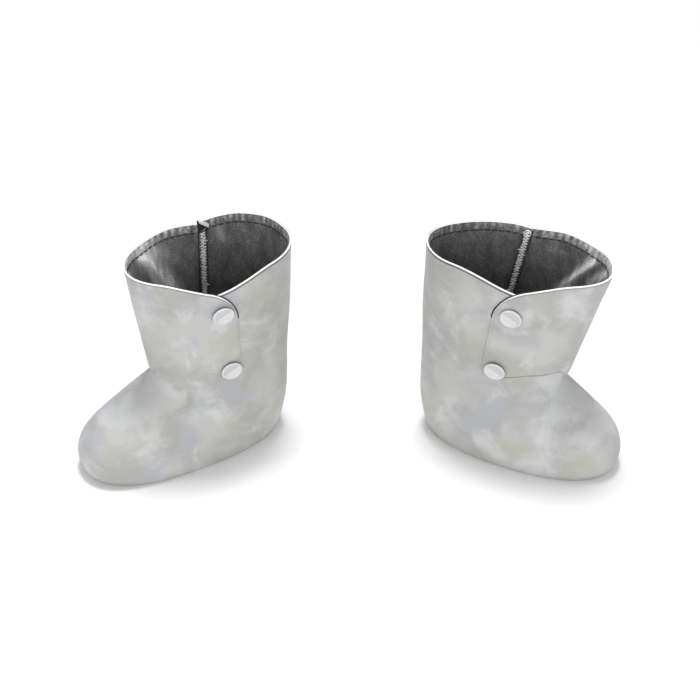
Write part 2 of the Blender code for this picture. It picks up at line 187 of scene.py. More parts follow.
# Angle 0 is the toe, and the closure is on the side of +90 degrees. The level is 0 at the sole
# seam, 1 at the ankle crease and 2 at the rim.
SEAM_ANGLE = math.radians(-98.0)
CLOSURE_ANGLE = math.radians(79.0)
TURN_REACH = math.radians(70.0)  # a turn of the seam or the closure fades out over this angle
PLAIN_RISE = 10.0 * MM  # the underlap's height where the body goes on up as one wall
UNDERLAP = (2.0 * MM, 9.0 * MM)  # how far the body rises behind the hem, least and most
UNDERLAP_START = math.radians(-44.0)  # it rises there from here on
BODY_EDGE = math.radians(46.0)  # the body's free edge under the flap
FLAP_EDGE = math.radians(88.7)  # the flap's free edge
FLAP_LIFT_END = math.radians(-48.0)  # the flap is clear of the body by here
FLAP_HEM_CLEAR = 0.6 * MM
FLAP_RISE = 16.0 * MM
FLAP_RISE_ANGLES = (math.radians(-18.0), math.radians(26.0))
FLAP_FALL = 5.0 * MM
FLAP_FALL_ANGLES = (math.radians(50.0), math.radians(85.0))
UPPER_CORNER_ARC = math.radians(17.0)  # the widths of the flap's rounded corners
LOWER_CORNER_ARC = math.radians(9.0)
UPPER_CORNER = 18.0 * MM  # and their depths
LOWER_CORNER = 8.0 * MM
BODY_DIP = 13.0 * MM
BODY_DIP_ANGLES = (math.radians(66.0), math.radians(122.0))
SEAM_STEP_REACH = math.radians(28.0)
SOFT_BEND = (0.84, 1.14)  # the ankle is a soft bend between these levels beside the closure
FIRM_BEND = (0.955, 1.045)  # and a firm crease everywhere else
SOFT_BEND_ANGLES = (math.radians(-8.0), math.radians(30.0))
FOLDS = folds(
    (-42, 1.66, 0.20, 0.34, -0.35, 1.7),
    (-68, 1.62, 0.17, 0.36, -0.25, -1.4),
    (-148, 1.55, 0.22, 0.40, 0.15, 1.6),
    (170, 1.45, 0.25, 0.30, 0.10, -1.0),
    (128, 1.30, 0.30, 0.22, 0.20, 1.2),
    (30, 1.45, 0.25, 0.30, -0.20, 1.0),
    (55, 0.86, 0.35, 0.10, 0.0, 0.8),
    (-60, 0.84, 0.40, 0.10, 0.0, 1.2),
    (-98, 2.0, 0.12, 0.40, 0.0, 1.5),  # the pinch at the top of the side seam
)

# How the cloth layers lie, measured out from the surface
CLOTH_WALL = 0.7 * MM
LINING_START = -0.75 * MM
LINING_WALL = 0.7 * MM
EDGE_RADIUS = 0.66 * MM  # half the thickness of the sewn edge
EDGE_PROUD = 0.06 * MM
LINING_LIP = 1.15 * MM  # how far the lining shows past the flap's upper corner
FLAP_LIFT = 1.9 * MM
HEM_WIDTH = 6.2 * MM  # from the rim down to the topstitch
SNAP_RADIUS = 7.5 * MM
SNAP_HEIGHT = 1.5 * MM
STUD_CAP_HEIGHT = 1.2 * MM
LINING_FACE = 1.65 * MM  # from the surface in to the lining's inner face
THREAD_SLOT = "overlock_thread"
BLACK_THREAD_RADIUS = 0.44 * MM
CAP_CREASE = math.radians(33.75)  # a cap's face is two shallow flats that meet on this slant
CAP_HOLLOW = 0.6 * MM
CAP_FACE = 0.82  # the share of a cap's radius that its face takes up
# Shares of a cap's radius and height, from the middle of its face to the end of its post
CAP_PROFILE = ((0.00, 0.93), (0.20, 0.93), (0.40, 0.93), (0.60, 0.93), (0.80, 0.93), (0.85, 0.98),
               (0.90, 1.00), (0.95, 0.93), (0.985, 0.74), (1.00, 0.48), (0.99, 0.24), (0.94, 0.06),
               (0.86, 0.0), (0.42, 0.0), (0.40, -0.10), (0.40, -0.85))


def ease(value: float, start: float, end: float) -> float:
    """Gives 0 before start and 1 after end, with a smooth change between them."""
    share = min(1.0, max(0.0, (value - start) / (end - start)))
    return share * share * (3.0 - 2.0 * share)


def ease_turn(angle: float, start: float, end: float) -> float:
    """Gives the same smooth change between two angles in degrees."""
    return ease(angle, math.radians(start), math.radians(end))


def wrapped(angle: float) -> float:
    """Brings an angle into the half turn on each side of the toe."""
    return math.remainder(angle, 2.0 * math.pi)


def bump_at(value: float, middle: float, half: float) -> float:
    """Gives a soft bump that is 1 at its middle and has nearly gone two halves away."""
    return math.exp(-(((value - middle) / half) ** 2))


def linear(code: str) -> tuple[float, float, float, float]:
    """Turns an sRGB hex colour to linear.

    Args:
        code: Six hex digits with a leading hash.

    Returns:
        Red, green, blue and an alpha of 1.
    """
    parts = [int(code[i : i + 2], 16) / 255.0 for i in (1, 3, 5)]
    r, g, b = (c / 12.92 if c <= 0.04045 else ((c + 0.055) / 1.055) ** 2.4 for c in parts)
    return (r, g, b, 1.0)


def add_node(tree: bpy.types.NodeTree, kind: str, inputs: dict | None = None,
             **settings: str) -> bpy.types.Node:
    """Adds a node, sets it and links it.

    Args:
        tree: The material's node tree.
        kind: The node's type name.
        inputs: Values, or sockets to link, by the input's name or number.
        settings: The node's own properties.

    Returns:
        The new node.
    """
    node = tree.nodes.new(kind)
    for name, value in settings.items():
        setattr(node, name, value)
    for name, value in (inputs or {}).items():
        if isinstance(value, bpy.types.NodeSocket):
            tree.links.new(value, node.inputs[name])
        else:
            node.inputs[name].default_value = value
    return node


def new_material(name: str) -> tuple[bpy.types.Material, bpy.types.NodeTree, bpy.types.Node]:
    """Makes an empty node material and its Principled shader."""
    material = bpy.data.materials.new(name)
    material.use_nodes = True
    return material, material.node_tree, material.node_tree.nodes["Principled BSDF"]


@dataclass(frozen=True)
class MarbledPolyester:
    """Smooth woven polyester with a soft cloudy print, as on light rainwear.

    It looks matt and even, with pale wisps that have no clear edges. The fold of a turned edge
    shows the white yarn. Painted shade darkens the dent beside it and the back of a far one.
    """

    name: str
    ground: str = "#9B9B98"
    cloud: str = "#ADADAB"
    wisp: str = "#C2C4C6"
    warm: str = "#A6A59B"
    cool: str = "#9EA1A8"
    white_yarn: str = "#E6E6E6"
    shade: str = "#161615"
    cloud_mm: float = 38.0
    wisp_mm: float = 25.0
    tint_mm: float = 34.0
    feather_mm: float = 5.5
    swirl_mm: float = 45.0
    crease_mm: float = 9.0
    drift: tuple[float, float, float] = (2.1, -0.9, 0.5)  # picks which stretch of print shows
    push: tuple[float, float, float] = (0.030, 0.030, 0.016)  # how far swirls bend it, in metres
    yarn_mm: float = 1.1  # real yarns lie 0.3 mm apart, drawn coarser so that they show
    roughness: float = 0.62

    def material(self) -> bpy.types.Material:
        """Builds the cloth's material."""
        material, tree, shader = new_material(self.name)
        coordinates = add_node(tree, "ShaderNodeTexCoord").outputs
        place, uv = coordinates["Object"], coordinates["UV"]
        swirl = add_node(tree, "ShaderNodeTexNoise",
                         {"Vector": place, "Scale": 1.0 / (self.swirl_mm * MM), "Detail": 2.0,
                          "Roughness": 0.5})
        drifted = add_node(tree, "ShaderNodeVectorMath",
                           {0: swirl.outputs["Color"], 1: self.drift}, operation="SUBTRACT")
        pushed = add_node(tree, "ShaderNodeVectorMath",
                          {0: drifted.outputs["Vector"], 1: self.push, 2: place},
                          operation="MULTIPLY_ADD").outputs["Vector"]
        clouds, wisps, feathers, tints = (
            add_node(tree, "ShaderNodeTexNoise",
                     {"Vector": pushed, "Scale": 1.0 / (size * MM), "Detail": detail,
                      "Roughness": roughness, "Distortion": distortion}).outputs["Fac"]
            for size, detail, roughness, distortion in (
                (self.cloud_mm, 4.5, 0.6, 0.4), (self.wisp_mm, 2.5, 0.5, 0.5),
                (self.feather_mm, 3.0, 0.6, 0.8), (self.tint_mm, 2.0, 0.5, 0.0)))
        # painted light: the print is paled below the instep crease, where the instep lies in shade
        painted_lightening = add_node(tree, "ShaderNodeAttribute", attribute_name="instep_painted_light").outputs["Fac"]
        for value, share in ((feathers, 0.27), (painted_lightening, 0.26)):
            wisps = add_node(tree, "ShaderNodeMath", {0: value, 1: share, 2: wisps},
                             operation="MULTIPLY_ADD").outputs[0]
        layers = [(add_node(tree, "ShaderNodeMapRange",
                            {"Value": value, "From Min": least, "From Max": most, "To Max": share},
                            interpolation_type="SMOOTHSTEP").outputs["Result"], code)
                  for value, least, most, share, code in (
                      (clouds, 0.36, 0.64, 1.0, self.cloud), (tints, 0.54, 0.70, 0.75, self.warm),
                      (tints, 0.46, 0.30, 0.75, self.cool), (wisps, 0.625, 0.86, 0.55, self.wisp))]
        # painted shade in the dent beside a turned edge and on the back of a far one, then white
        # yarn
        layers += [(add_node(tree, "ShaderNodeAttribute", attribute_name=mark).outputs["Fac"], code)
                   for mark, code in (("painted_shade", self.shade), ("turned_edge", self.white_yarn))]
        colour = linear(self.ground)
        for factor, code in layers:
            colour = add_node(tree, "ShaderNodeMix", {0: factor, 6: colour, 7: linear(code)},
                              data_type="RGBA").outputs[2]
        warp, weft = (
            add_node(tree, "ShaderNodeTexWave",
                     {"Vector": uv, "Scale": UV_SPAN / (self.yarn_mm * MM * 2.0)},
                     bands_direction=direction).outputs["Fac"] for direction in "XY")
        weave = add_node(tree, "ShaderNodeMath", {0: warp, 1: weft}, operation="MULTIPLY")
        creases = add_node(tree, "ShaderNodeTexNoise",
                           {"Vector": place, "Scale": 1.0 / (self.crease_mm * MM), "Detail": 4.0})
        yarns = add_node(tree, "ShaderNodeBump",
                         {"Strength": 0.10, "Distance": 0.12 * MM, "Height": weave.outputs[0]})
        rumple = add_node(tree, "ShaderNodeBump",
                          {"Strength": 0.16, "Distance": 1.2 * MM, "Height": creases.outputs["Fac"],
                           "Normal": yarns.outputs["Normal"]})
        tree.links.new(colour, shader.inputs["Base Color"])
        tree.links.new(rumple.outputs["Normal"], shader.inputs["Normal"])
        shader.inputs["Roughness"].default_value = self.roughness
        shader.inputs["Sheen Weight"].default_value = 0.12
        return material


@dataclass(frozen=True)
class BrushedFleece:
    """Dark knitted lining, brushed on its face, so it is matt with a soft streaky nap.

    It has pale wear at the hem, painted highlight on folds and puckers, and painted shade on its
    edge at the flap's corner.
    """

    name: str
    deep: str = "#4A4A4B"
    nap: str = "#8E8E90"
    pale_wear_and_highlight: str = "#F6F6F8"
    painted_lip_shade: str = "#0C0C0D"
    streak_mm: float = 7.04
    fibre_mm: float = 1.1  # real fibres are finer, drawn coarser so that they show
    rib_mm: float = 1.4

    def material(self) -> bpy.types.Material:
        """Builds the lining's material."""
        material, tree, shader = new_material(self.name)
        coordinates = add_node(tree, "ShaderNodeTexCoord").outputs
        place, uv = coordinates["Object"], coordinates["UV"]
        stretched = add_node(tree, "ShaderNodeVectorMath", {0: place, 1: (1.0, 1.0, 0.45)},
                             operation="MULTIPLY").outputs["Vector"]
        streaks = add_node(tree, "ShaderNodeTexNoise",
                           {"Vector": stretched, "Scale": 1.0 / (self.streak_mm * MM),
                            "Detail": 5.0, "Roughness": 0.62})
        fibres = add_node(tree, "ShaderNodeTexNoise",
                          {"Vector": place, "Scale": 1.0 / (self.fibre_mm * MM), "Detail": 3.0,
                           "Roughness": 0.6})
        ribs = add_node(tree, "ShaderNodeTexWave",
                        {"Vector": uv, "Scale": UV_SPAN / (self.rib_mm * MM * 2.0),
                         "Distortion": 2.0, "Detail": 2.0, "Detail Scale": 2.0},
                        bands_direction="DIAGONAL")
        brushed, speckle = (
            add_node(tree, "ShaderNodeMapRange",
                     {"Value": noises.outputs["Fac"], "From Min": least,
                      "From Max": most}).outputs["Result"]
            for noises, least, most in ((streaks, 0.32, 0.70), (fibres, 0.34, 0.68)))
        lit = add_node(tree, "ShaderNodeMath", {0: brushed, 1: speckle, 2: 0.05},
                       operation="MULTIPLY_ADD")
        # painted highlight with wear: the nap is paled along hems and folds
        wear_and_highlight = add_node(tree, "ShaderNodeAttribute", attribute_name="nap_wear_and_highlight")
        crushed = add_node(tree, "ShaderNodeMath", {0: speckle, 1: 0.5, 2: 0.55},
                           operation="MULTIPLY_ADD")
        painted_lightening = add_node(tree, "ShaderNodeMath", {0: wear_and_highlight.outputs["Fac"], 1: crushed.outputs[0]},
                          operation="MULTIPLY")
        colour = linear(self.deep)
        # painted shade: the lining's edge past the flap's upper corner is darkened
        edge = add_node(tree, "ShaderNodeAttribute", attribute_name="painted_shade")
        for factor, code in ((lit.outputs[0], self.nap), (painted_lightening.outputs[0], self.pale_wear_and_highlight),
                             (edge.outputs["Fac"], self.painted_lip_shade)):
            colour = add_node(tree, "ShaderNodeMix", {0: factor, 6: colour, 7: linear(code)},
                              data_type="RGBA").outputs[2]
        grain = add_node(tree, "ShaderNodeBump",
                         {"Strength": 0.55, "Distance": 0.5 * MM, "Height": fibres.outputs["Fac"]})
        ridged = add_node(tree, "ShaderNodeBump",
                          {"Strength": 0.08, "Distance": 0.3 * MM, "Height": ribs.outputs["Fac"],
                           "Normal": grain.outputs["Normal"]})
        tree.links.new(colour, shader.inputs["Base Color"])
        tree.links.new(ridged.outputs["Normal"], shader.inputs["Normal"])
        shader.inputs["Roughness"].default_value = 0.95
        shader.inputs["Sheen Weight"].default_value = 0.35
        shader.inputs["Sheen Roughness"].default_value = 0.45
        return material


@dataclass(frozen=True)
class SpunPolyesterThread:
    """Sewing thread: twisted plies, with painted glints in fine light and dark slanting bands."""

    name: str
    dark: str
    light: str
    twist_mm: float = 0.8

    def material(self) -> bpy.types.Material:
        """Builds the thread's material."""
        material, tree, shader = new_material(self.name)
        place = add_node(tree, "ShaderNodeTexCoord").outputs["Object"]
        plies = add_node(tree, "ShaderNodeTexWave",
                         {"Vector": place, "Scale": 1.0 / (self.twist_mm * MM * 2.0),
                          "Distortion": 1.5, "Detail": 2.0}, bands_direction="DIAGONAL")
        # painted glints: the colour runs from dark to light along the twist
        colour = add_node(tree, "ShaderNodeMix",
                          {0: plies.outputs["Fac"], 6: linear(self.dark), 7: linear(self.light)},
                          data_type="RGBA").outputs[2]
        twisted = add_node(tree, "ShaderNodeBump",
                           {"Strength": 0.4, "Distance": 0.1 * MM, "Height": plies.outputs["Fac"]})
        tree.links.new(colour, shader.inputs["Base Color"])
        tree.links.new(twisted.outputs["Normal"], shader.inputs["Normal"])
        shader.inputs["Roughness"].default_value = 0.6
        shader.inputs["Sheen Weight"].default_value = 0.2
        return material


@dataclass(frozen=True)
class MouldedAcetal:
    """White moulded plastic snap cap, with a polished face and faint handling marks.

    One half of the face is painted greyer, as a painted reflection of darker surroundings. Painted
    shade darkens the edge under the cap, which outlines it against the cloth.
    """

    name: str
    body: str = "#C8C8CA"
    scuffed: str = "#C0C0C2"
    satin: str = "#A8A8AA"
    painted_underside_shade: str = "#262627"
    scuff_mm: float = 2.5

    def material(self) -> bpy.types.Material:
        """Builds the snap's material."""
        material, tree, shader = new_material(self.name)
        place = add_node(tree, "ShaderNodeTexCoord").outputs["Object"]
        scuffs = add_node(tree, "ShaderNodeTexNoise",
                          {"Vector": place, "Scale": 1.0 / (self.scuff_mm * MM), "Detail": 4.0})
        colour = add_node(tree, "ShaderNodeMix",
                          {0: scuffs.outputs["Fac"], 6: linear(self.body), 7: linear(self.scuffed)},
                          data_type="RGBA").outputs[2]
        # painted reflection on one half of the face, and painted shade under the cap
        for name, code in (("painted_dim_flat", self.satin), ("painted_shade", self.painted_underside_shade)):
            marked = add_node(tree, "ShaderNodeAttribute", attribute_name=name)
            colour = add_node(tree, "ShaderNodeMix",
                              {0: marked.outputs["Fac"], 6: colour, 7: linear(code)},
                              data_type="RGBA").outputs[2]
        gloss = add_node(tree, "ShaderNodeMapRange",
                         {"Value": scuffs.outputs["Fac"], "From Min": 0.3, "From Max": 0.7,
                          "To Min": 0.16, "To Max": 0.26})
        tree.links.new(colour, shader.inputs["Base Color"])
        tree.links.new(gloss.outputs["Result"], shader.inputs["Roughness"])
        shader.inputs["IOR"].default_value = 1.48
        return material


@dataclass(frozen=True)
class StudioPaper:
    """Matt white paper sweep for the floor."""

    name: str = "studio_paper"
    tone: str = "#E5E5E5"

    def material(self) -> bpy.types.Material:
        """Builds the floor's material."""
        material, _, shader = new_material(self.name)
        shader.inputs["Base Color"].default_value = linear(self.tone)
        shader.inputs["Roughness"].default_value = 0.9
        return material


@dataclass(frozen=True)
class Finishes:
    """The materials of the pair, each built once and shared by both covers."""

    cloth: bpy.types.Material
    sole: bpy.types.Material
    lining: bpy.types.Material
    binding: bpy.types.Material
    white_cloth: bpy.types.Material
    black_thread: bpy.types.Material
    grey_thread: bpy.types.Material
    snap: bpy.types.Material

    @classmethod
    def build(cls) -> "Finishes":
        """Builds all the materials."""
        return cls(
            cloth=MarbledPolyester("marbled_polyester").material(),
            sole=MarbledPolyester("marbled_polyester_sole", ground="#939390", cloud="#9B9B99",
                                  wisp="#A9A9AA").material(),
            lining=BrushedFleece("brushed_fleece_lining").material(),
            binding=BrushedFleece("black_bound_fleece", deep="#0E0E0F", nap="#2C2C2E",
                                  pale_wear_and_highlight="#48484A").material(),
            white_cloth=MarbledPolyester("white_turned_polyester", ground="#D8D8D8",
                                         cloud="#E0E0E0", wisp="#E8E8E8", warm="#DADAD6",
                                         cool="#DADADC").material(),
            black_thread=SpunPolyesterThread("black_sewing_thread", "#060607",
                                             "#18181A").material(),
            grey_thread=SpunPolyesterThread("pale_overlock_thread", "#D4D4D6",
                                            "#FFFFFF").material(),
            snap=MouldedAcetal("moulded_acetal_snap").material(),
        )


@dataclass(frozen=True)
class CoverForm:
    """The cloth surface of one cover and where its cut edges run."""

    side: Side
    toe_out: float
    heel_at: tuple[float, float]
    rings: tuple[Ring, ...]
    seam_turns: tuple[float, float]
    closure_turn: float
    seam_step: float
    flap_dip: tuple[float, float, float]
    rim_waves: tuple[RimWave, ...]
    snaps: tuple[SnapPlace, ...]
    lining_folds: tuple[Fold, ...]
    nap_highlight_bands: tuple[NapHighlightBand, ...]
    hem_shade: float

    def ring_at(self, level: float) -> Ring:
        """Blends the ring at a level: a smooth curve through the foot, straight in the shaft."""
        foot, rim = self.rings[:-1], self.rings[-1]
        fields = tuple(Ring.__dataclass_fields__)
        if level >= 1.0:
            low = foot[-1]
            return Ring(*(getattr(low, f) + (getattr(rim, f) - getattr(low, f)) * (level - 1.0)
                          for f in fields))
        place = level * (len(foot) - 1)
        at = min(int(place), len(foot) - 2)
        t = place - at
        rows = (foot[max(at - 1, 0)], foot[at], foot[at + 1], foot[min(at + 2, len(foot) - 1)])
        return Ring(*(
            0.5 * (2 * b + (c - a) * t + (2 * a - 5 * b + 4 * c - d) * t * t
                   + (3 * b - a - 3 * c + d) * t ** 3)
            for a, b, c, d in (tuple(getattr(row, f) for row in rows) for f in fields)))

    def turned(self, angle: float, level: float) -> float:
        """Gives the angle on the ring of a nominal angle, with this cover's turns."""
        at_ankle, at_rim = self.seam_turns
        share = max(0.0, level - 1.0)
        to_seam = wrapped(angle - SEAM_ANGLE) / TURN_REACH
        to_closure = wrapped(angle - CLOSURE_ANGLE) / TURN_REACH
        low = ease(level, 0.5, 1.0)
        seam_turn = at_ankle + (at_rim - at_ankle) * share
        return (angle + low * seam_turn * (1.0 - ease(abs(to_seam), 0, 1))
                + low * self.closure_turn * (1.0 - ease(abs(to_closure), 0, 1)))

    def creased_point(self, angle: float, level: float) -> Vector:
        """Gives a point of the surface that keeps a sharp crease at the ankle."""
        ring = self.ring_at(level)
        place = self.turned(angle, level)
        power = 2.0 / ring.fullness
        cosine, sine = math.cos(place), math.sin(place)
        along = math.copysign(abs(cosine) ** power, cosine)
        across = math.copysign(abs(sine) ** power, sine)
        half_length = (ring.toe_x - ring.heel_x) / 2
        middle = (ring.toe_x + ring.heel_x) / 2
        width = ring.half_width * (1.0 + ring.toe_flare * along)
        point = Vector((middle + half_length * along, width * across,
                        ring.heel_z + (ring.toe_z - ring.heel_z) * (along + 1.0) / 2))
        inwards = sum(fold.depth_at(angle, level) for fold in FOLDS)
        outwards = Vector((cosine * width, sine * half_length, 0.0)).normalized()
        return point - outwards * inwards

    def point(self, angle: float, level: float) -> Vector:
        """Gives a point of the surface in the cover's frame: +X to the toe, +Y to the closure."""
        softness = ease(wrapped(angle), *SOFT_BEND_ANGLES)
        low, high = (a + (b - a) * softness for a, b in zip(FIRM_BEND, SOFT_BEND))
        if not low < level < high:
            return self.creased_point(angle, level)
        share = (level - low) / (high - low)
        below, crease, above = (self.creased_point(angle, at) for at in (low, 1.0, high))
        return below.lerp(crease, share).lerp(crease.lerp(above, share), share)

    def shaft_height(self, angle: float) -> float:
        """Gives the height from the ankle crease to the rim's plane."""
        ankle, rim = self.rings[-2:]
        forward = (math.cos(angle) + 1.0) / 2
        ankle_z = ankle.heel_z + (ankle.toe_z - ankle.heel_z) * forward
        return rim.heel_z + (rim.toe_z - rim.heel_z) * forward - ankle_z

    def flap_top(self, angle: float) -> float:
        """Gives the height of the flap's upper edge over the ankle crease."""
        depth, start, end = self.flap_dip
        drop = depth * ease(angle, start, end)
        drop += corner_drop(angle, UPPER_CORNER_ARC, UPPER_CORNER)
        drop += self.seam_step * (1.0 - ease(angle, SEAM_ANGLE, SEAM_ANGLE + SEAM_STEP_REACH))
        return self.shaft_height(angle) + self.rim_wave(angle) - drop

    def body_top(self, angle: float) -> float:
        """Gives the height of the body's rim, which sags towards its free edge."""
        angle = wrapped(angle)
        drop = BODY_DIP * ease(angle, SEAM_ANGLE / 2, 0.0) * (1.0 - ease(angle, *BODY_DIP_ANGLES))
        return self.shaft_height(angle) + self.rim_wave(angle) - drop

    def rim_wave(self, angle: float) -> float:
        """Gives how far the rim stands over its plane."""
        return sum(wave.at(angle) for wave in self.rim_waves)

    def standing(self, point: Vector) -> Vector:
        """Brings a point of the cover's own frame into the pair's frame."""
        sine, cosine = math.sin(self.toe_out), math.cos(self.toe_out)
        x = self.heel_at[0] - sine * point.x + cosine * point.y
        y = self.heel_at[1] - cosine * point.x - sine * point.y
        return Vector((-x if self.side is Side.RIGHT else x, y, point.z))

    def at_height(self, angle: float, height: float) -> Vector:
        """Gives a point of the shaft at a height over the ankle crease."""
        return self.point(angle, 1.0 + height / self.shaft_height(angle))

    def frame_at(self, angle: float, height: float) -> tuple[Vector, Vector, Vector, Vector]:
        """Gives a place on the shaft and its directions, in the cover's frame.

        Args:
            angle: The angle round the cover.
            height: The height over the ankle crease.

        Returns:
            The point, then the directions along the girth, up and outwards.
        """
        step = 0.01
        point = self.at_height(angle, height)
        along = self.at_height(angle + step, height) - self.at_height(angle - step, height)
        up = self.at_height(angle, height + step * 0.1) - self.at_height(angle, height - step * 0.1)
        along, up = along.normalized(), up.normalized()
        return point, along, up, along.cross(up).normalized()

    @property
    def ankle_z(self) -> float:
        """The height of the ankle crease at the heel."""
        return self.rings[-2].heel_z

    @property
    def middle(self) -> Vector:
        """A point inside the cover, which every outward face looks away from."""
        ankle = self.rings[-2]
        return Vector(((ankle.heel_x + ankle.toe_x) / 2, 0.0, ankle.heel_z))


def corner_drop(angle: float, arc: float, depth: float) -> float:
    """Gives how far a rounded corner of the flap has turned away from its straight edge."""
    share = min(1.0, max(0.0, (angle - (FLAP_EDGE - arc)) / arc))
    return depth * (1.0 - math.sqrt(1.0 - share * share))


def flap_hem(angle: float) -> float:
    """Gives the height of the flap's lower edge, without its rounded corner."""
    return (FLAP_HEM_CLEAR + FLAP_RISE * ease(angle, *FLAP_RISE_ANGLES)
            - FLAP_FALL * ease(angle, *FLAP_FALL_ANGLES))


def underlap_top(angle: float) -> float:
    """Gives the height of the body's edge behind the flap's hem, and of a plain row elsewhere."""
    least, most = UNDERLAP
    angle = wrapped(angle)
    share = ease(angle, SEAM_ANGLE / 2, FLAP_RISE_ANGLES[0])
    behind = flap_hem(angle) + least + (most - least) * share
    under_flap = 1.0 - ease(abs(angle), CLOSURE_ANGLE, math.radians(150))
    return PLAIN_RISE + (behind - PLAIN_RISE) * under_flap


def flap_lift(angle: float) -> float:
    """Gives how far the flap rides out: flush at the seam, clear over the body."""
    return FLAP_LIFT * ease(angle, SEAM_ANGLE, FLAP_LIFT_END)


def spaced(start: float, end: float, step: float) -> list[float]:
    """Lists even steps from start to just before end."""
    count = max(1, round((end - start) / step))
    return [start + (end - start) * i / count for i in range(count)]


def extrude_by(bm: bmesh.types.BMesh, faces: Sequence[bmesh.types.BMFace],
               step: Callable[[bmesh.types.BMVert], Vector]) -> None:
    """Extrudes faces and moves each new vertex by its step."""
    for item in bmesh.ops.extrude_face_region(bm, geom=faces)["geom"]:
        if isinstance(item, bmesh.types.BMVert):
            item.co += step(item)


# Rows of the cloth near a sewn edge, in metres from that edge
EDGE_ROWS = tuple(d * MM for d in (0.0, 0.3, 0.65, 1.05, 1.6, 2.3, 3.1, 3.9, 4.7, 5.3, 5.75, 6.2,
                                   6.65, 7.1, 7.8, 8.8, 10.2, 12.0))
LOW_EDGE_ROWS = tuple(d * MM for d in (0.0, 0.35, 0.75, 1.3, 2.1, 3.2))
COLUMN = math.radians(1.125)
SEAM_COLUMNS = tuple(math.radians(turn) for turn in (0.0, 0.45, 0.95, 1.6, 2.5))
PLAIN_START = math.radians(3.6)  # where the even columns start, beside the seam's closer ones
# Turns round a sewn edge, from its face to the lining
ROLL_SWEEP = tuple(math.radians(turn) for turn in (20, 42, 64, 88, 112, 134, 152))
BACK_SHADE = 0.85  # painted shade on the back of a turned edge, on the far side
BACK_SHADE_END = math.radians(100)
BACK_FACING = (0.10, 0.45)  # how much an edge faces the back where its painted shade starts and is full
MOST_SHELL = 1.3  # at a sharp bend the outward step is at most this much longer
FAR_FROM_EDGE = 1.0  # stands for the distance of any row in the middle of a panel


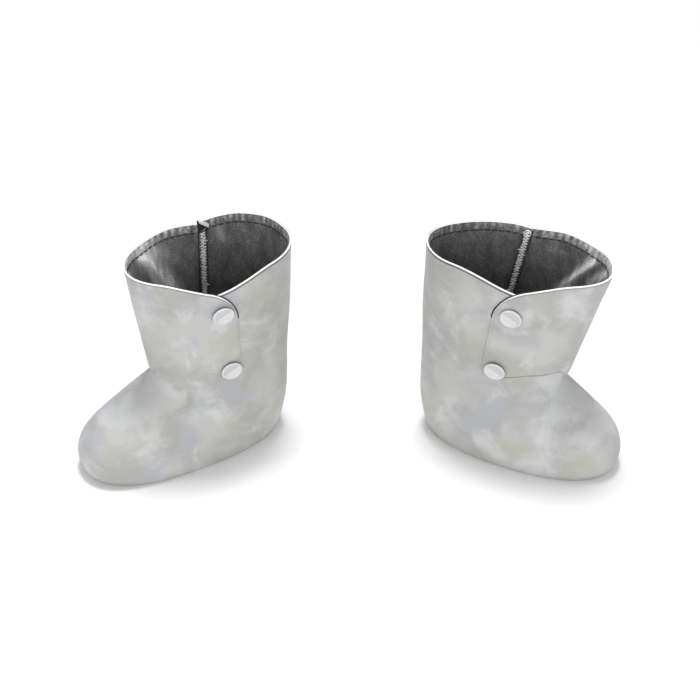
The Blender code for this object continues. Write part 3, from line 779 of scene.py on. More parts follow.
@dataclass
class ClothPatch:
    """An open patch of one cover's surface, which becomes a closed cloth wall."""

    form: CoverForm
    angles: Sequence[float]
    rows: int
    place: Callable[[float, int], Vector]

    def __post_init__(self) -> None:
        """Lays out the grid and stores each vertex's column, row and outward step."""
        self.bm = bmesh.new()
        columns = len(self.angles) - 1
        bmesh.ops.create_grid(self.bm, x_segments=columns, y_segments=self.rows, size=0.5)
        layers = self.bm.verts.layers
        self.column = layers.int.new("column")
        self.row = layers.int.new("row")
        self.out = layers.float_vector.new("out")
        self.roll = layers.int.new("roll")
        self.marks = {name: layers.float.new(name)
                      for name in ("turned_edge", "painted_shade", "nap_wear_and_highlight", "instep_painted_light")}
        for vert in self.bm.verts:
            vert[self.column] = round((vert.co.x + 0.5) * columns)
            vert[self.row] = round((vert.co.y + 0.5) * self.rows)
        self.window = self.bm.faces.layers.int.new("window")
        self.span = self.bm.loops.layers.uv.new("UVMap")
        for face in self.bm.faces:
            columns_of = [vert[self.column] for vert in face.verts]
            lowest = min(vert[self.row] for vert in face.verts)
            face[self.window] = min(columns_of) * (self.rows + 1) + lowest
            for loop in face.loops:
                angle = self.angles[loop.vert[self.column]]
                loop[self.span].uv.x = angle * SHAFT_RADIUS / UV_SPAN
        for vert in self.bm.verts:
            vert.co = self.place(self.angles[vert[self.column]], vert[self.row])
        for face in self.bm.faces:
            for loop in face.loops:
                loop[self.span].uv.y = loop.vert.co.z / UV_SPAN
        bmesh.ops.remove_doubles(self.bm, verts=self.bm.verts, dist=1e-7)
        bmesh.ops.recalc_face_normals(self.bm, faces=self.bm.faces)
        self.bm.normal_update()
        if sum(f.normal.dot(f.calc_center_median() - self.form.middle) for f in self.bm.faces) < 0:
            bmesh.ops.reverse_faces(self.bm, faces=self.bm.faces)
            self.bm.normal_update()
        for vert in self.bm.verts:
            vert[self.out] = vert.normal * min(vert.calc_shell_factor(), MOST_SHELL)

    def cut_window(self, is_cut: Callable[[float, int], bool]) -> None:
        """Removes the faces whose lowest angle and row are in the window."""
        cut = []
        for face in self.bm.faces:
            column, row = divmod(face[self.window], self.rows + 1)
            if is_cut(self.angles[column], row):
                cut.append(face)
        bmesh.ops.delete(self.bm, geom=cut, context="FACES")

    def move_out(self, how_far: Callable[[float, int, Vector], float]) -> None:
        """Moves each vertex out by how_far(angle, row, point)."""
        for vert in self.bm.verts:
            angle = self.angles[vert[self.column]]
            vert.co += vert[self.out] * how_far(angle, vert[self.row], vert.co)

    def press(self, share: Callable[[float, int], float]) -> None:
        """Makes the layers lie thinner and closer where they are pressed flat."""
        for vert in self.bm.verts:
            vert[self.out] *= share(self.angles[vert[self.column]], vert[self.row])

    def mark(self, name: str, how_much: Callable[[float, int], float]) -> None:
        """Stores a share from 0 to 1 at each vertex for the material to read."""
        layer = self.marks[name]
        for vert in self.bm.verts:
            vert[layer] = how_much(self.angles[vert[self.column]], vert[self.row])

    def roll_edges(self, is_rolled: Callable[[bmesh.types.BMEdge], bool],
                   whiteness: Callable[[float, int], float]) -> None:
        """Turns free edges of the cloth over its own thickness.

        Args:
            is_rolled: Says whether a free edge is turned.
            whiteness: Gives how much white yarn a column and row shows on the turned edge.
        """
        edges = [edge for edge in self.bm.edges if edge.is_boundary and is_rolled(edge)]
        chosen = set(edges)
        frames: dict[int, tuple[Vector, Vector, Vector, float, float, float]] = {}
        origin = self.form.standing(Vector())
        for number, vert in enumerate({vert for edge in edges for vert in edge.verts}, start=1):
            ends = [edge.other_vert(vert).co for edge in vert.link_edges if edge in chosen]
            tangent = ends[0] - (ends[1] if len(ends) > 1 else vert.co)
            normal = vert[self.out].normalized()
            away = normal.cross(tangent).normalized()
            inside = sum((face.calc_center_median() for face in vert.link_faces), Vector())
            if away.dot(vert.co - inside / len(vert.link_faces)) < 0:
                away.negate()
            vert[self.roll] = number
            behind = ease((self.form.standing(normal) - origin).y, *BACK_FACING)
            frames[number] = (vert.co.copy(), normal, away, vert[self.out].length,
                              whiteness(self.angles[vert[self.column]], vert[self.row]), behind)
        for turn in ROLL_SWEEP:
            made = bmesh.ops.extrude_edge_only(self.bm, edges=edges)["geom"]
            edges = [item for item in made if isinstance(item, bmesh.types.BMEdge)]
            for vert in (item for item in made if isinstance(item, bmesh.types.BMVert)):
                start, normal, away, thin, white, behind = frames[vert[self.roll]]
                # painted shade: turns of an edge that faces the back are darkened in colour
                shaded = behind * BACK_SHADE if turn < BACK_SHADE_END else 0.0
                facing = normal * math.cos(turn) + away * math.sin(turn)
                radius = EDGE_RADIUS * thin
                vert.co = start - normal * radius + facing * (radius + EDGE_PROUD)
                vert[self.out] = facing * thin
                vert[self.marks["turned_edge"]] = white * (1.0 - shaded)
                vert[self.marks["painted_shade"]] = shaded
                vert[self.marks["nap_wear_and_highlight"]] = 0.0

    def thicken(self, wall: float) -> None:
        """Makes the open surface a closed wall that goes inwards from it."""
        extrude_by(self.bm, list(self.bm.faces), lambda vert: -vert[self.out] * wall)


def finish_mesh(form: CoverForm, bm: bmesh.types.BMesh, name: str, material: bpy.types.Material,
                node: str | None, slot: str, sharp: float = 50.0) -> bpy.types.Object:
    """Stands a piece in the pair's frame, makes it an object and puts it on the frame.

    Args:
        form: The cover that it belongs to.
        bm: The piece in the cover's own frame. It is freed.
        name: The piece's name without its side.
        material: Its finish.
        node: The CAD node that it stands for, without its side, if any.
        slot: The record's material slot; it is not used.
        sharp: Edges over this angle in degrees stay sharp.

    Returns:
        The finished object.
    """
    for vert in bm.verts:
        vert.co = form.standing(vert.co)
    bmesh.ops.recalc_face_normals(bm, faces=bm.faces)
    if bm.calc_volume(signed=True) < 0.0:
        bmesh.ops.reverse_faces(bm, faces=bm.faces)
    mesh = bpy.data.meshes.new(f"{form.side.value}_{name}")
    bm.to_mesh(mesh)
    bm.free()
    mesh.shade_smooth()
    mesh.set_sharp_from_angle(angle=math.radians(sharp))
    mesh.materials.append(material)
    return place_on_frame(form, bpy.data.objects.new(mesh.name, mesh), node, slot)


def place_on_frame(form: CoverForm, piece: bpy.types.Object, node: str | None,
                   slot: str) -> bpy.types.Object:
    """Links a piece, rides it on the root body and hides the CAD part that it stands for."""
    bpy.context.scene.collection.objects.link(piece)
    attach(piece, "root")
    if node:
        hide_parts(f"{form.side.value}_{node}")
    LOG.info("piece %s", piece.name)
    return piece


def thread(form: CoverForm, name: str, runs: Iterable[Sequence[Vector]], radius: float,
           material: bpy.types.Material) -> None:
    """Lays lengths of sewing thread along runs of points, as one curve object.

    Args:
        form: The cover that it belongs to.
        name: The piece's name without its side.
        runs: The points of each length, in the cover's frame.
        radius: The thread's radius.
        material: Its finish.
    """
    curve = bpy.data.curves.new(f"{form.side.value}_{name}", "CURVE")
    curve.dimensions = "3D"
    curve.bevel_depth = radius
    curve.bevel_resolution = 1
    curve.use_fill_caps = True
    for run in runs:
        spline = curve.splines.new("POLY")
        spline.points.add(len(run) - 1)
        for place, point in zip(spline.points, run):
            place.co = (*form.standing(point), 1.0)
        spline.use_smooth = True
    curve.materials.append(material)
    place_on_frame(form, bpy.data.objects.new(curve.name, curve), None, THREAD_SLOT)


@dataclass
class Panel:
    """A sewn panel of one cover, with a grid of columns and rows for each of its two layers."""

    form: CoverForm
    finishes: Finishes
    angles: list[float] = field(init=False)
    total: int = field(init=False)

    def below_rim(self, row: int) -> float:
        """Gives how far a row lies under the rim."""
        below = self.total - row
        return EDGE_ROWS[below] if below < len(EDGE_ROWS) else FAR_FROM_EDGE

    def height(self, angle: float, row: int) -> float:
        """Gives a shaft row's height over the ankle crease, which each panel lays out itself."""
        raise NotImplementedError

    def place(self, angle: float, row: int) -> Vector:
        """Gives the surface point of a column and a row."""
        return self.form.at_height(angle, self.height(angle, row))

    def level(self, angle: float, row: int) -> float:
        """Gives a row's level."""
        return 1.0 + self.height(angle, row) / self.form.shaft_height(angle)

    def finish(self, stem: str, outer: ClothPatch, inner: ClothPatch,
               cuts: Sequence[tuple[tuple[float, float], float]]) -> None:
        """Args:
            stem: The CAD node of the outer cloth, without its side.
            outer: The outer cloth's patch.
            inner: The lining's patch.
            cuts: The cut's length and width with its area, of the outer cloth and the lining. They
                are not used.
        """
        layers = ((outer, CLOTH_WALL, "cloth", self.finishes.cloth, stem, "outer_cloth"),
                  (inner, LINING_WALL, "fleece", self.finishes.lining, f"{stem}_lining",
                   "lining_cloth"))
        for (patch, wall, kind, material, node, slot), (flat, area) in zip(layers, cuts):
            patch.thicken(wall)
            piece = finish_mesh(self.form, patch.bm, f"{stem}_{kind}", material, node, slot)


@dataclass
class BodyPanel(Panel):
    """The foot, heel and back of the shaft, in outer cloth and lining."""

    foot_rows: int = 44
    shaft_rows: int = 26

    def __post_init__(self) -> None:
        """Lists the columns and the rows' places."""
        far = SEAM_ANGLE + 2.0 * math.pi
        self.angles = ([SEAM_ANGLE + turn for turn in SEAM_COLUMNS]
                       + spaced(SEAM_ANGLE + PLAIN_START, UNDERLAP_START, COLUMN)
                       + spaced(UNDERLAP_START, BODY_EDGE, COLUMN)
                       + spaced(BODY_EDGE, far - PLAIN_START, COLUMN)
                       + [far - PLAIN_START] + [far - turn for turn in reversed(SEAM_COLUMNS)])
        self.low_rows = len(LOW_EDGE_ROWS)
        self.ankle = self.foot_rows
        self.underlap = self.ankle + self.low_rows
        self.total = self.underlap + self.shaft_rows + len(EDGE_ROWS) - 1

    def height(self, angle: float, row: int) -> float:
        """Gives a shaft row's height over the ankle crease."""
        low, high = underlap_top(angle), self.form.body_top(angle)
        if row <= self.underlap:
            behind = LOW_EDGE_ROWS[min(self.underlap - row, self.low_rows - 1)]
            if row == self.ankle:
                return 0.0
            return max(low - behind * min(1.0, low / (4.0 * MM)), low * 0.12 * (row - self.ankle))
        start = high - EDGE_ROWS[-1]
        if row <= self.underlap + self.shaft_rows:
            return low + (start - low) * (row - self.underlap) / self.shaft_rows
        return high - EDGE_ROWS[self.total - row]

    def place(self, angle: float, row: int) -> Vector:
        """Gives the surface point, on the foot with closer rows near the sole."""
        if row >= self.ankle:
            return super().place(angle, row)
        share = row / self.foot_rows
        return self.form.point(angle, share * (0.35 + 0.65 * min(1.0, share * 4.0)))

    def in_window(self, angle: float, row: int) -> bool:
        """Says whether a face is left out, where only the flap covers the leg."""
        start = self.underlap if angle > UNDERLAP_START - 1e-6 else self.ankle
        return angle < BODY_EDGE - 1e-6 and row >= start

    def is_turned(self, patch: ClothPatch, edge: bmesh.types.BMEdge) -> bool:
        """Says whether an edge is turned: the sole's, ankle's and seam's edges aren't."""
        rows = [vert[patch.row] for vert in edge.verts]
        angles = [self.angles[vert[patch.column]] for vert in edge.verts]
        at_seam = all(abs(wrapped(angle - SEAM_ANGLE)) < 1e-6 for angle in angles)
        return max(rows) > self.ankle and not at_seam

    def patch(self) -> ClothPatch:
        """Lays out the surface and cuts the flap's window out of it."""
        patch = ClothPatch(self.form, self.angles, self.total, self.place)
        patch.cut_window(self.in_window)
        return patch

    def build(self) -> None:
        """Builds the outer cloth and the lining."""
        form = self.form
        outer = self.patch()
        outer.move_out(lambda angle, row, at: outer_relief(form, self.below_rim(row), at)
                       - seam_ditch(angle) - sole_turn(row))
        # painted shade in the dent under the rim
        outer.mark("painted_shade", lambda angle, row: painted_shade(self.below_rim(row)))
        # painted light that pales the print below the instep crease
        outer.mark("instep_painted_light", lambda angle, row: instep_light_share(angle, self.level(angle, row)))
        outer.roll_edges(lambda edge: self.is_turned(outer, edge), lambda angle, row: 1.0)
        inner = self.patch()
        inner.move_out(lambda angle, row, at: LINING_START - lining_relief(
            form, angle, self.below_rim(row), at, self.level(angle, row)))
        # painted highlight with wear on the nap under the rim and along folds
        inner.mark("nap_wear_and_highlight", lambda angle, row: nap_wear_and_highlight(
            form, angle, form.body_top(angle) - self.height(angle, row)))
        self.finish("body", outer, inner, (((0.300, 0.200), 0.0394), ((0.290, 0.195), 0.0370)))

    def level(self, angle: float, row: int) -> float:
        """Gives a row's level, with the foot's rows taken as even."""
        return row / self.foot_rows if row <= self.ankle else super().level(angle, row)


@dataclass
class FrontFlap(Panel):
    """The flap that wraps over the front from the side seam to the snaps."""

    middle_rows: int = 30

    def __post_init__(self) -> None:
        """Lists the columns, which are closer at the seam and round the corners."""
        start = SEAM_ANGLE + 0.05 * MM / SHAFT_RADIUS
        bend = FLAP_EDGE - UPPER_CORNER_ARC
        edge = [FLAP_EDGE - UPPER_CORNER_ARC * (1.0 - i / 22.0) ** 1.7 for i in range(23)]
        self.angles = ([start + turn for turn in SEAM_COLUMNS]
                       + spaced(start + PLAIN_START, bend, COLUMN) + edge)
        self.low_rows = len(LOW_EDGE_ROWS) - 1
        self.total = self.low_rows + self.middle_rows + len(EDGE_ROWS) - 1

    def height(self, angle: float, row: int) -> float:
        """Gives a row's height over the ankle crease."""
        low = flap_hem(angle) + corner_drop(angle, LOWER_CORNER_ARC, LOWER_CORNER)
        high = self.form.flap_top(angle)
        if row <= self.low_rows:
            return low + LOW_EDGE_ROWS[row]
        if row >= self.total - len(EDGE_ROWS) + 1:
            return high - EDGE_ROWS[self.total - row]
        share = (row - self.low_rows) / self.middle_rows
        start, end = low + LOW_EDGE_ROWS[-1], high - EDGE_ROWS[-1]
        return start + (end - start) * share

    def lipped_place(self, angle: float, row: int) -> Vector:
        """Gives the lining's point, which shows past the outer cloth round the upper corner."""
        share = min(1.0, max(0.0, (angle - FLAP_EDGE) / UPPER_CORNER_ARC + 1.0))
        facing = Vector((share / (UPPER_CORNER_ARC * SHAFT_RADIUS),
                         math.sqrt(1.0 - share * share) / UPPER_CORNER)).normalized()
        lip = self.lip_share(angle, row) * LINING_LIP
        return self.form.at_height(angle + lip * facing.x / SHAFT_RADIUS,
                                   self.height(angle, row) + lip * facing.y)

    def lip_share(self, angle: float, row: int) -> float:
        """Gives how far out the lining's edge is: fully round the upper corner alone."""
        return (ease_turn(angle, 62.0, 70.0)
                * (1.0 - ease(self.below_rim(row), 0.0, 3.1 * MM)))

    def over_hem(self, row: int) -> float:
        """Gives how far a row lies over the lower hem."""
        return LOW_EDGE_ROWS[row] if row <= self.low_rows else FAR_FROM_EDGE

    def from_edge(self, angle: float, row: int) -> float:
        """Gives how far a vertex lies from the flap's nearest turned edge."""
        return min(self.below_rim(row), self.over_hem(row), (FLAP_EDGE - angle) * SHAFT_RADIUS)

    def pressed(self, angle: float, row: int) -> float:
        """Gives how thick the flap lies: it is pressed flat along its hem and its free edge."""
        side = 1.0 - ease((FLAP_EDGE - angle) * SHAFT_RADIUS, 0.0, 7.0 * MM)
        along = ease(angle, FLAP_LIFT_END, FLAP_RISE_ANGLES[0])
        hem = (1.0 - ease(self.over_hem(row), 0.0, 3.2 * MM)) * along
        return 1.0 - 0.40 * max(side, 0.7 * hem)

    def whiteness(self, angle: float, row: int) -> float:
        """Gives how much white yarn the turned edge shows: all along the rim, little elsewhere."""
        rim = ease(row, self.total - 3, self.total - 1)
        return rim * (1.0 - 0.75 * ease_turn(angle, 78.0, 87.0))

    def hem_line(self, angle: float, row: int) -> float:
        """Gives the painted shade in the dent along the lower hem, from the instep to the lower
        snap.
        """
        along = ease_turn(angle, 4.0, 18.0) * (1.0 - ease_turn(angle, 72.0, 80.0))
        return self.form.hem_shade * along * painted_shade(self.over_hem(row))

    def build(self) -> None:
        """Builds the outer cloth and the lining."""
        form = self.form
        outer = ClothPatch(form, self.angles, self.total, self.place)
        outer.press(self.pressed)
        outer.move_out(lambda angle, row, at: flap_lift(angle) - seam_ditch(angle)
                       + outer_relief(form, self.from_edge(angle, row), at)
                       - snap_dimple(form, at))
        # painted shade in the dents beside the turned edges and along the lower hem
        outer.mark("painted_shade", lambda angle, row: self.hem_line(angle, row)
                   + painted_shade(self.from_edge(angle, row))
                   * (0.08 + 0.92 * self.whiteness(angle, row)))
        outer.roll_edges(lambda edge: any(vert[outer.column] > 0 for vert in edge.verts),
                         self.whiteness)
        inner = ClothPatch(form, self.angles, self.total, self.lipped_place)
        inner.press(self.pressed)
        inner.move_out(lambda angle, row, at: flap_lift(angle) + LINING_START - lining_relief(
            form, angle, self.below_rim(row), at, self.level(angle, row))
            * (1.0 - ease(angle, UNDERLAP_START, BODY_EDGE)))
        # painted highlight with wear on the nap under the rim and along folds
        inner.mark("nap_wear_and_highlight", lambda angle, row: nap_wear_and_highlight(
            form, angle, form.flap_top(angle) - self.height(angle, row)))
        # painted shade on the lining's edge where it shows past the flap's upper corner
        inner.mark("painted_shade", self.lip_share)
        self.finish("flap", outer, inner, (((0.150, 0.092), 0.0125), ((0.148, 0.090), 0.0121)))


def painted_shade(distance: float) -> float:
    """Gives the share of painted shade in the dent that runs beside a turned edge."""
    return bump_at(distance, 0.78 * MM, 0.52 * MM)


def instep_light_share(angle: float, level: float) -> float:
    """Gives how much painted light pales the print where the instep bends and lies in shade."""
    across = bump_at(wrapped(angle), math.radians(4.0), math.radians(34.0))
    return across * bump_at(level, 0.82, 0.17)


def pucker_wave(girth: float) -> float:
    """Gives the rise and fall of the hem's puckers at a place along it, in millimetres of girth."""
    wander = 1.6 * noise.noise(Vector((girth / 19.0, 4.0, 1.0)))
    strength = 0.55 + 0.5 * noise.noise(Vector((girth / 12.0, 9.0, 2.0)))
    return math.sin(2.0 * math.pi * girth / 4.6 + 2.4 * wander) * strength


def nap_wear_and_highlight(form: CoverForm, angle: float, below_rim: float) -> float:
    """Gives how pale the nap is painted: worn patches along the hem, painted highlight on its
    puckers and toe end, and bands of painted highlight along folds.
    """
    angle = wrapped(angle)
    girth = angle * SHAFT_RADIUS / MM
    patch = noise.noise(Vector((girth / 3.4, below_rim / (7.0 * MM), 3.0)))
    toe_end = bump_at(angle, math.radians(-28.0), math.radians(48.0))
    fine = noise.noise(Vector((girth / 1.4, below_rim / (2.6 * MM), 6.0)))
    # worn patches, with painted highlight toward the toe end and on the puckers' crests
    hem = ((0.62 * max(0.0, patch) + 0.36 * fine + 0.38 * toe_end + 0.30 * pucker_wave(girth))
           * (1.0 - ease(below_rim, 4.8 * MM, 6.2 * MM)))
    streaks = 0.75 + 0.6 * noise.noise(Vector((girth / 3.0, below_rim / (16.0 * MM), 8.0)))
    bands = sum(band.share_at(angle, below_rim) for band in form.nap_highlight_bands) * streaks
    return min(1.0, max(0.0, hem) + max(0.0, bands))


def seam_ditch(angle: float) -> float:
    """Gives how far the outer cloth turns in at the side seam."""
    return 0.45 * MM * bump_at(wrapped(angle - SEAM_ANGLE) * SHAFT_RADIUS, 0.0, 0.8 * MM)


def sole_turn(row: int) -> float:
    """Gives how far the cloth turns in at the sole seam."""
    return 0.9 * MM * math.exp(-((row / 1.6) ** 2))


def outer_relief(form: CoverForm, from_edge: float, at: Vector) -> float:
    """Gives the outer cloth's slight rise and fall.

    Args:
        form: The cover.
        from_edge: The distance to the nearest turned edge.
        at: The place in the cover's frame.

    Returns:
        How far the cloth stands out.
    """
    seed = Vector((7.0, 2.0, 1.0)) if form.side is Side.RIGHT else Vector((1.0, 5.0, 3.0))
    calm = min(1.0, at.z / (12.0 * MM)) * 0.35 * MM
    soft = noise.noise(at / (30.0 * MM) + seed) * calm
    fine = noise.noise(at / (9.0 * MM) + seed) * 0.25 * calm
    dent = -0.22 * MM * bump_at(from_edge, 0.5 * MM, 0.4 * MM)
    return (soft + fine) * ease(from_edge, 0.0, 6.0 * MM) + dent


def lining_relief(form: CoverForm, angle: float, below_rim: float, at: Vector,
                  level: float) -> float:
    """Gives how far the lining stands into the cover: hem puckers, loose folds and nap.

    Args:
        form: The cover.
        angle: The angle round the cover.
        below_rim: The distance under the rim.
        at: The place in the cover's frame.
        level: The level of the place.

    Returns:
        How far the lining stands in.
    """
    girth = angle * SHAFT_RADIUS / MM
    loose = sum(fold.depth_at(angle, level) for fold in form.lining_folds)
    soft = 0.30 * MM * noise.noise(at / (17.0 * MM)) + 0.14 * MM * noise.noise(at / (6.0 * MM))
    if below_rim >= FAR_FROM_EDGE:
        return max(0.0, loose) + soft * ease(level, 0.0, 0.15)
    wave = pucker_wave(girth)
    in_hem = math.sin(math.pi * min(1.0, below_rim / HEM_WIDTH))
    puckers = (0.42 + 0.72 * wave) * in_hem * MM
    under = 0.36 * wave * MM * bump_at(below_rim, 8.4 * MM, 1.8 * MM)
    pulled = -0.30 * MM * bump_at(below_rim, HEM_WIDTH, 0.75 * MM)
    fade = ease(below_rim, 5.0 * MM, 12.0 * MM)
    return puckers + under + pulled + (max(0.0, loose) + soft) * fade


def snap_dimple(form: CoverForm, at: Vector) -> float:
    """Gives how far the flap is pressed in around a snap."""
    depth = 0.0
    for snap in form.snaps:
        centre = form.at_height(snap.angle, snap.z - form.ankle_z)
        depth += 0.35 * MM * bump_at((at - centre).length, 0.0, 11.0 * MM)
    return depth


@dataclass
class SnapPair:
    """The two snaps: a moulded cap on the flap and the stud's cap behind the body."""

    form: CoverForm
    finishes: Finishes
    steps: int = 64

    def button(self, name: str, node: str, centre: Vector, facing: Vector,
               height: float) -> None:
        """Spins one cap and its post about the direction that it faces.

        Args:
            name: The cap's name without its side.
            node: The CAD node that it stands for, without its side.
            centre: The middle of its back face, where the post goes into the cloth.
            facing: The direction that it faces.
            height: How far it stands up.
        """
        bm = bmesh.new()
        under = bm.verts.layers.float.new("painted_shade")
        verts = [bm.verts.new((r * SNAP_RADIUS, 0.0, h * height)) for r, h in CAP_PROFILE]
        rim = [bm.edges.new(pair) for pair in zip(verts, verts[1:])]
        bmesh.ops.spin(bm, geom=rim, cent=(0, 0, 0), axis=(0, 0, 1), dvec=(0, 0, 0),
                       angle=2.0 * math.pi, steps=self.steps, use_merge=True)
        bmesh.ops.remove_doubles(bm, verts=bm.verts, dist=1e-6)
        bmesh.ops.holes_fill(bm, edges=[e for e in bm.edges if e.is_boundary], sides=0)
        crease = Vector((-math.sin(CAP_CREASE), math.cos(CAP_CREASE), 0.0))
        for vert in bm.verts:
            within = vert.co.xy.length / SNAP_RADIUS
            # painted shade under the cap's rim and round its post
            vert[under] = 0.85 * (1.0 - ease(vert.co.z / height, 0.24, 0.60))
            if vert.co.z > 0.5 * height and within < CAP_FACE:
                vert.co.z -= (0.80 - abs(vert.co.dot(crease)) / SNAP_RADIUS) * CAP_HOLLOW
        # painted reflection: the half of the face beyond the crease is painted greyer
        satin = bm.faces.layers.float.new("painted_dim_flat")
        for face in bm.faces:
            at = face.calc_center_median()
            on_face = at.z > 0.5 * height and at.xy.length < CAP_FACE * SNAP_RADIUS
            face[satin] = 0.6 if on_face and at.dot(crease) > 0.0 else 0.0
        turn = facing.to_track_quat("Z", "Y").to_matrix().to_4x4()
        bmesh.ops.transform(bm, matrix=Matrix.Translation(centre) @ turn, verts=bm.verts)
        finish_mesh(self.form, bm, name, self.finishes.snap, node, "snap_cap", sharp=60.0)

    def build(self) -> None:
        """Builds both snaps."""
        for snap in self.form.snaps:
            point, _, up, out = self.form.frame_at(snap.angle, snap.z - self.form.ankle_z)
            outside = point + out * (flap_lift(snap.angle) + 3.0 * MM * snap.nod - 0.45 * MM)
            facing = (out - up * snap.nod).normalized()
            self.button(f"cap_{snap.name}", f"snap_{snap.name}", outside, facing, SNAP_HEIGHT)
            self.button(f"stud_cap_{snap.name}", f"stud_{snap.name}", point - out * LINING_FACE,
                        -out, STUD_CAP_HEIGHT)


@dataclass
class SideSeam:
    """The overlocked seam allowance inside, with its loops, its side stitches and its end."""

    form: CoverForm
    finishes: Finishes
    half_width: float = 3.2 * MM
    thickness: float = 1.6 * MM
    loop_pitch: float = 2.3 * MM

    def at(self, across: float, height: float, lift: float) -> Vector:
        """Gives a place on the allowance: across it, up it, and lifted off the lining."""
        point, along, _, out = self.form.frame_at(SEAM_ANGLE, height)
        return point + along * across - out * (LINING_FACE + lift)

    def build(self) -> None:
        """Builds the allowance and its sewing."""
        top = self.form.flap_top(SEAM_ANGLE) - 0.6 * MM
        self.tape(top)
        thread(self.form, "overlock_loops", self.loops(top) + self.strays(top), 0.22 * MM,
               self.finishes.grey_thread)
        thread(self.form, "seam_side_stitches", self.side_stitches(top), BLACK_THREAD_RADIUS,
               self.finishes.black_thread)
        if self.form.side is Side.LEFT:
            self.folded_end(top)
        else:
            self.knot(top)

    def tape(self, top: float) -> None:
        """Builds the allowance as one rounded strip."""
        bm = bmesh.new()
        bmesh.ops.create_grid(bm, x_segments=12, y_segments=60, size=0.5)
        for vert in bm.verts:
            across, height = vert.co.x * 2.0, (vert.co.y + 0.5) * top
            wobble = 0.18 * MM * noise.noise(Vector((across * 3.0, height / (4.0 * MM), 2.0)))
            bulge = self.thickness * math.sqrt(max(0.0, 1.0 - across ** 4)) + wobble
            vert.co = self.at(across * self.half_width, height, bulge)
        extrude_by(bm, list(bm.faces), lambda vert: self.form.frame_at(
            SEAM_ANGLE, vert.co.z - self.form.ankle_z)[3] * 1.4 * MM)
        finish_mesh(self.form, bm, "seam_tape", self.finishes.lining, "seam_allowance",
                    THREAD_SLOT)

    def loops(self, top: float) -> list[list[Vector]]:
        """Lists the points of the overlock's three wandering threads."""
        runs = []
        for phase in (0.0, 0.36, 0.71):
            run = []
            for i in range(int(top / self.loop_pitch) * 12 + 1):
                turn = i / 12.0 + phase
                slack = noise.noise(Vector((turn / 1.3, phase * 9.0, 5.0)))
                height = min(top - 0.5 * MM, i / 12.0 * self.loop_pitch + phase * self.loop_pitch
                             + 0.75 * MM * math.sin(4.0 * math.pi * turn + 3.0 * slack))
                across = (1.55 + 0.9 * slack) * MM * math.sin(2.0 * math.pi * turn + 2.0 * slack)
                lift = self.thickness + 0.24 * MM + 0.14 * MM * math.cos(4.0 * math.pi * turn)
                run.append(self.at(across, max(0.5 * MM, height), lift))
            runs.append(run)
        return runs

    def strays(self, top: float) -> list[list[Vector]]:
        """Lists the points of short stray lengths that lie over the loops."""
        runs = []
        for i in range(int(top / (0.55 * MM))):
            stray = [noise.noise(Vector((i * 3.17, 4.4 * k, 1.7))) for k in range(1, 5)]
            start = (3.6 * stray[0] * MM, (0.6 + 0.55 * i) * MM)
            step = (2.6 * stray[1] * MM, (0.7 + 1.4 * stray[2]) * MM)
            runs.append([self.at(start[0] + share * step[0],
                                 min(top, start[1] + share * step[1]),
                                 self.thickness + (0.30 + (0.35 + 0.6 * stray[3]) * share) * MM)
                         for share in (0.0, 0.5, 1.0)])
        return runs

    def side_stitches(self, top: float) -> list[list[Vector]]:
        """Lists the points of the stitches along both sides of the allowance."""
        length, pitch = 1.9 * MM, 2.6 * MM
        return [[self.at(across, 1.0 * MM + i * pitch + share * length, self.thickness * lift)
                 for share, lift in ((0.0, 0.3), (0.25, 0.8), (0.75, 0.8), (1.0, 0.3))]
                for across in (-3.0 * MM, 3.0 * MM) for i in range(int(top / pitch))]

    def scrap(self, name: str, corners: Sequence[tuple[float, float, float]], wall: float,
              material: bpy.types.Material) -> None:
        """Builds a small bent scrap of cloth.

        Args:
            name: The piece's name without its side.
            corners: Across, height and lift of its lower two corners, then its upper two.
            wall: Its thickness.
            material: Its finish.
        """
        bm = bmesh.new()
        bmesh.ops.create_grid(bm, x_segments=6, y_segments=8, size=0.5)
        low_a, low_b, high_a, high_b = (Vector(corner) for corner in corners)
        out = self.form.frame_at(SEAM_ANGLE, low_a.y)[3]
        for vert in bm.verts:
            u, v = vert.co.x + 0.5, vert.co.y + 0.5
            across, height, lift = low_a.lerp(low_b, u).lerp(high_a.lerp(high_b, u), v)
            vert.co = self.at(across, height, lift + 0.5 * MM * math.sin(math.pi * v) * (1.0 - u))
        extrude_by(bm, list(bm.faces), lambda vert: out * wall)
        finish_mesh(self.form, bm, name, material, None, THREAD_SLOT)

    def folded_end(self, top: float) -> None:
        """Builds the allowance's end, folded up past the rim, and its pale cut edge."""
        lift = self.thickness + 0.7 * MM
        self.scrap("seam_end",
                   ((3.6 * MM, top - 4.4 * MM, lift), (-3.2 * MM, top - 4.0 * MM, lift),
                    (4.2 * MM, top + 5.6 * MM, lift), (-3.0 * MM, top + 1.6 * MM, lift)),
                   0.8 * MM, self.finishes.binding)
        near, far = lift + 0.5 * MM, lift + 0.2 * MM
        self.scrap("seam_end_edge",
                   ((2.6 * MM, top + 3.2 * MM, near), (-4.0 * MM, top - 1.4 * MM, far),
                    (4.0 * MM, top + 6.6 * MM, near), (-4.4 * MM, top + 1.4 * MM, far)),
                   0.4 * MM, self.finishes.white_cloth)

    def knot(self, top: float) -> None:
        """Ties the overlock thread off in two small loops under the rim."""
        loops = []
        for radius, drop, lift in ((2.5 * MM, 2.4 * MM, 0.5 * MM), (0.8 * MM, 2.0 * MM, 0.7 * MM)):
            turns = (2.0 * math.pi * i / 16 for i in range(17))
            loops.append([self.at(radius * math.cos(turn), top - drop + radius * math.sin(turn),
                                  self.thickness + lift + 0.2 * MM * math.sin(2.0 * turn))
                          for turn in turns])
        thread(self.form, "seam_knot", loops, 0.36 * MM, self.finishes.grey_thread)


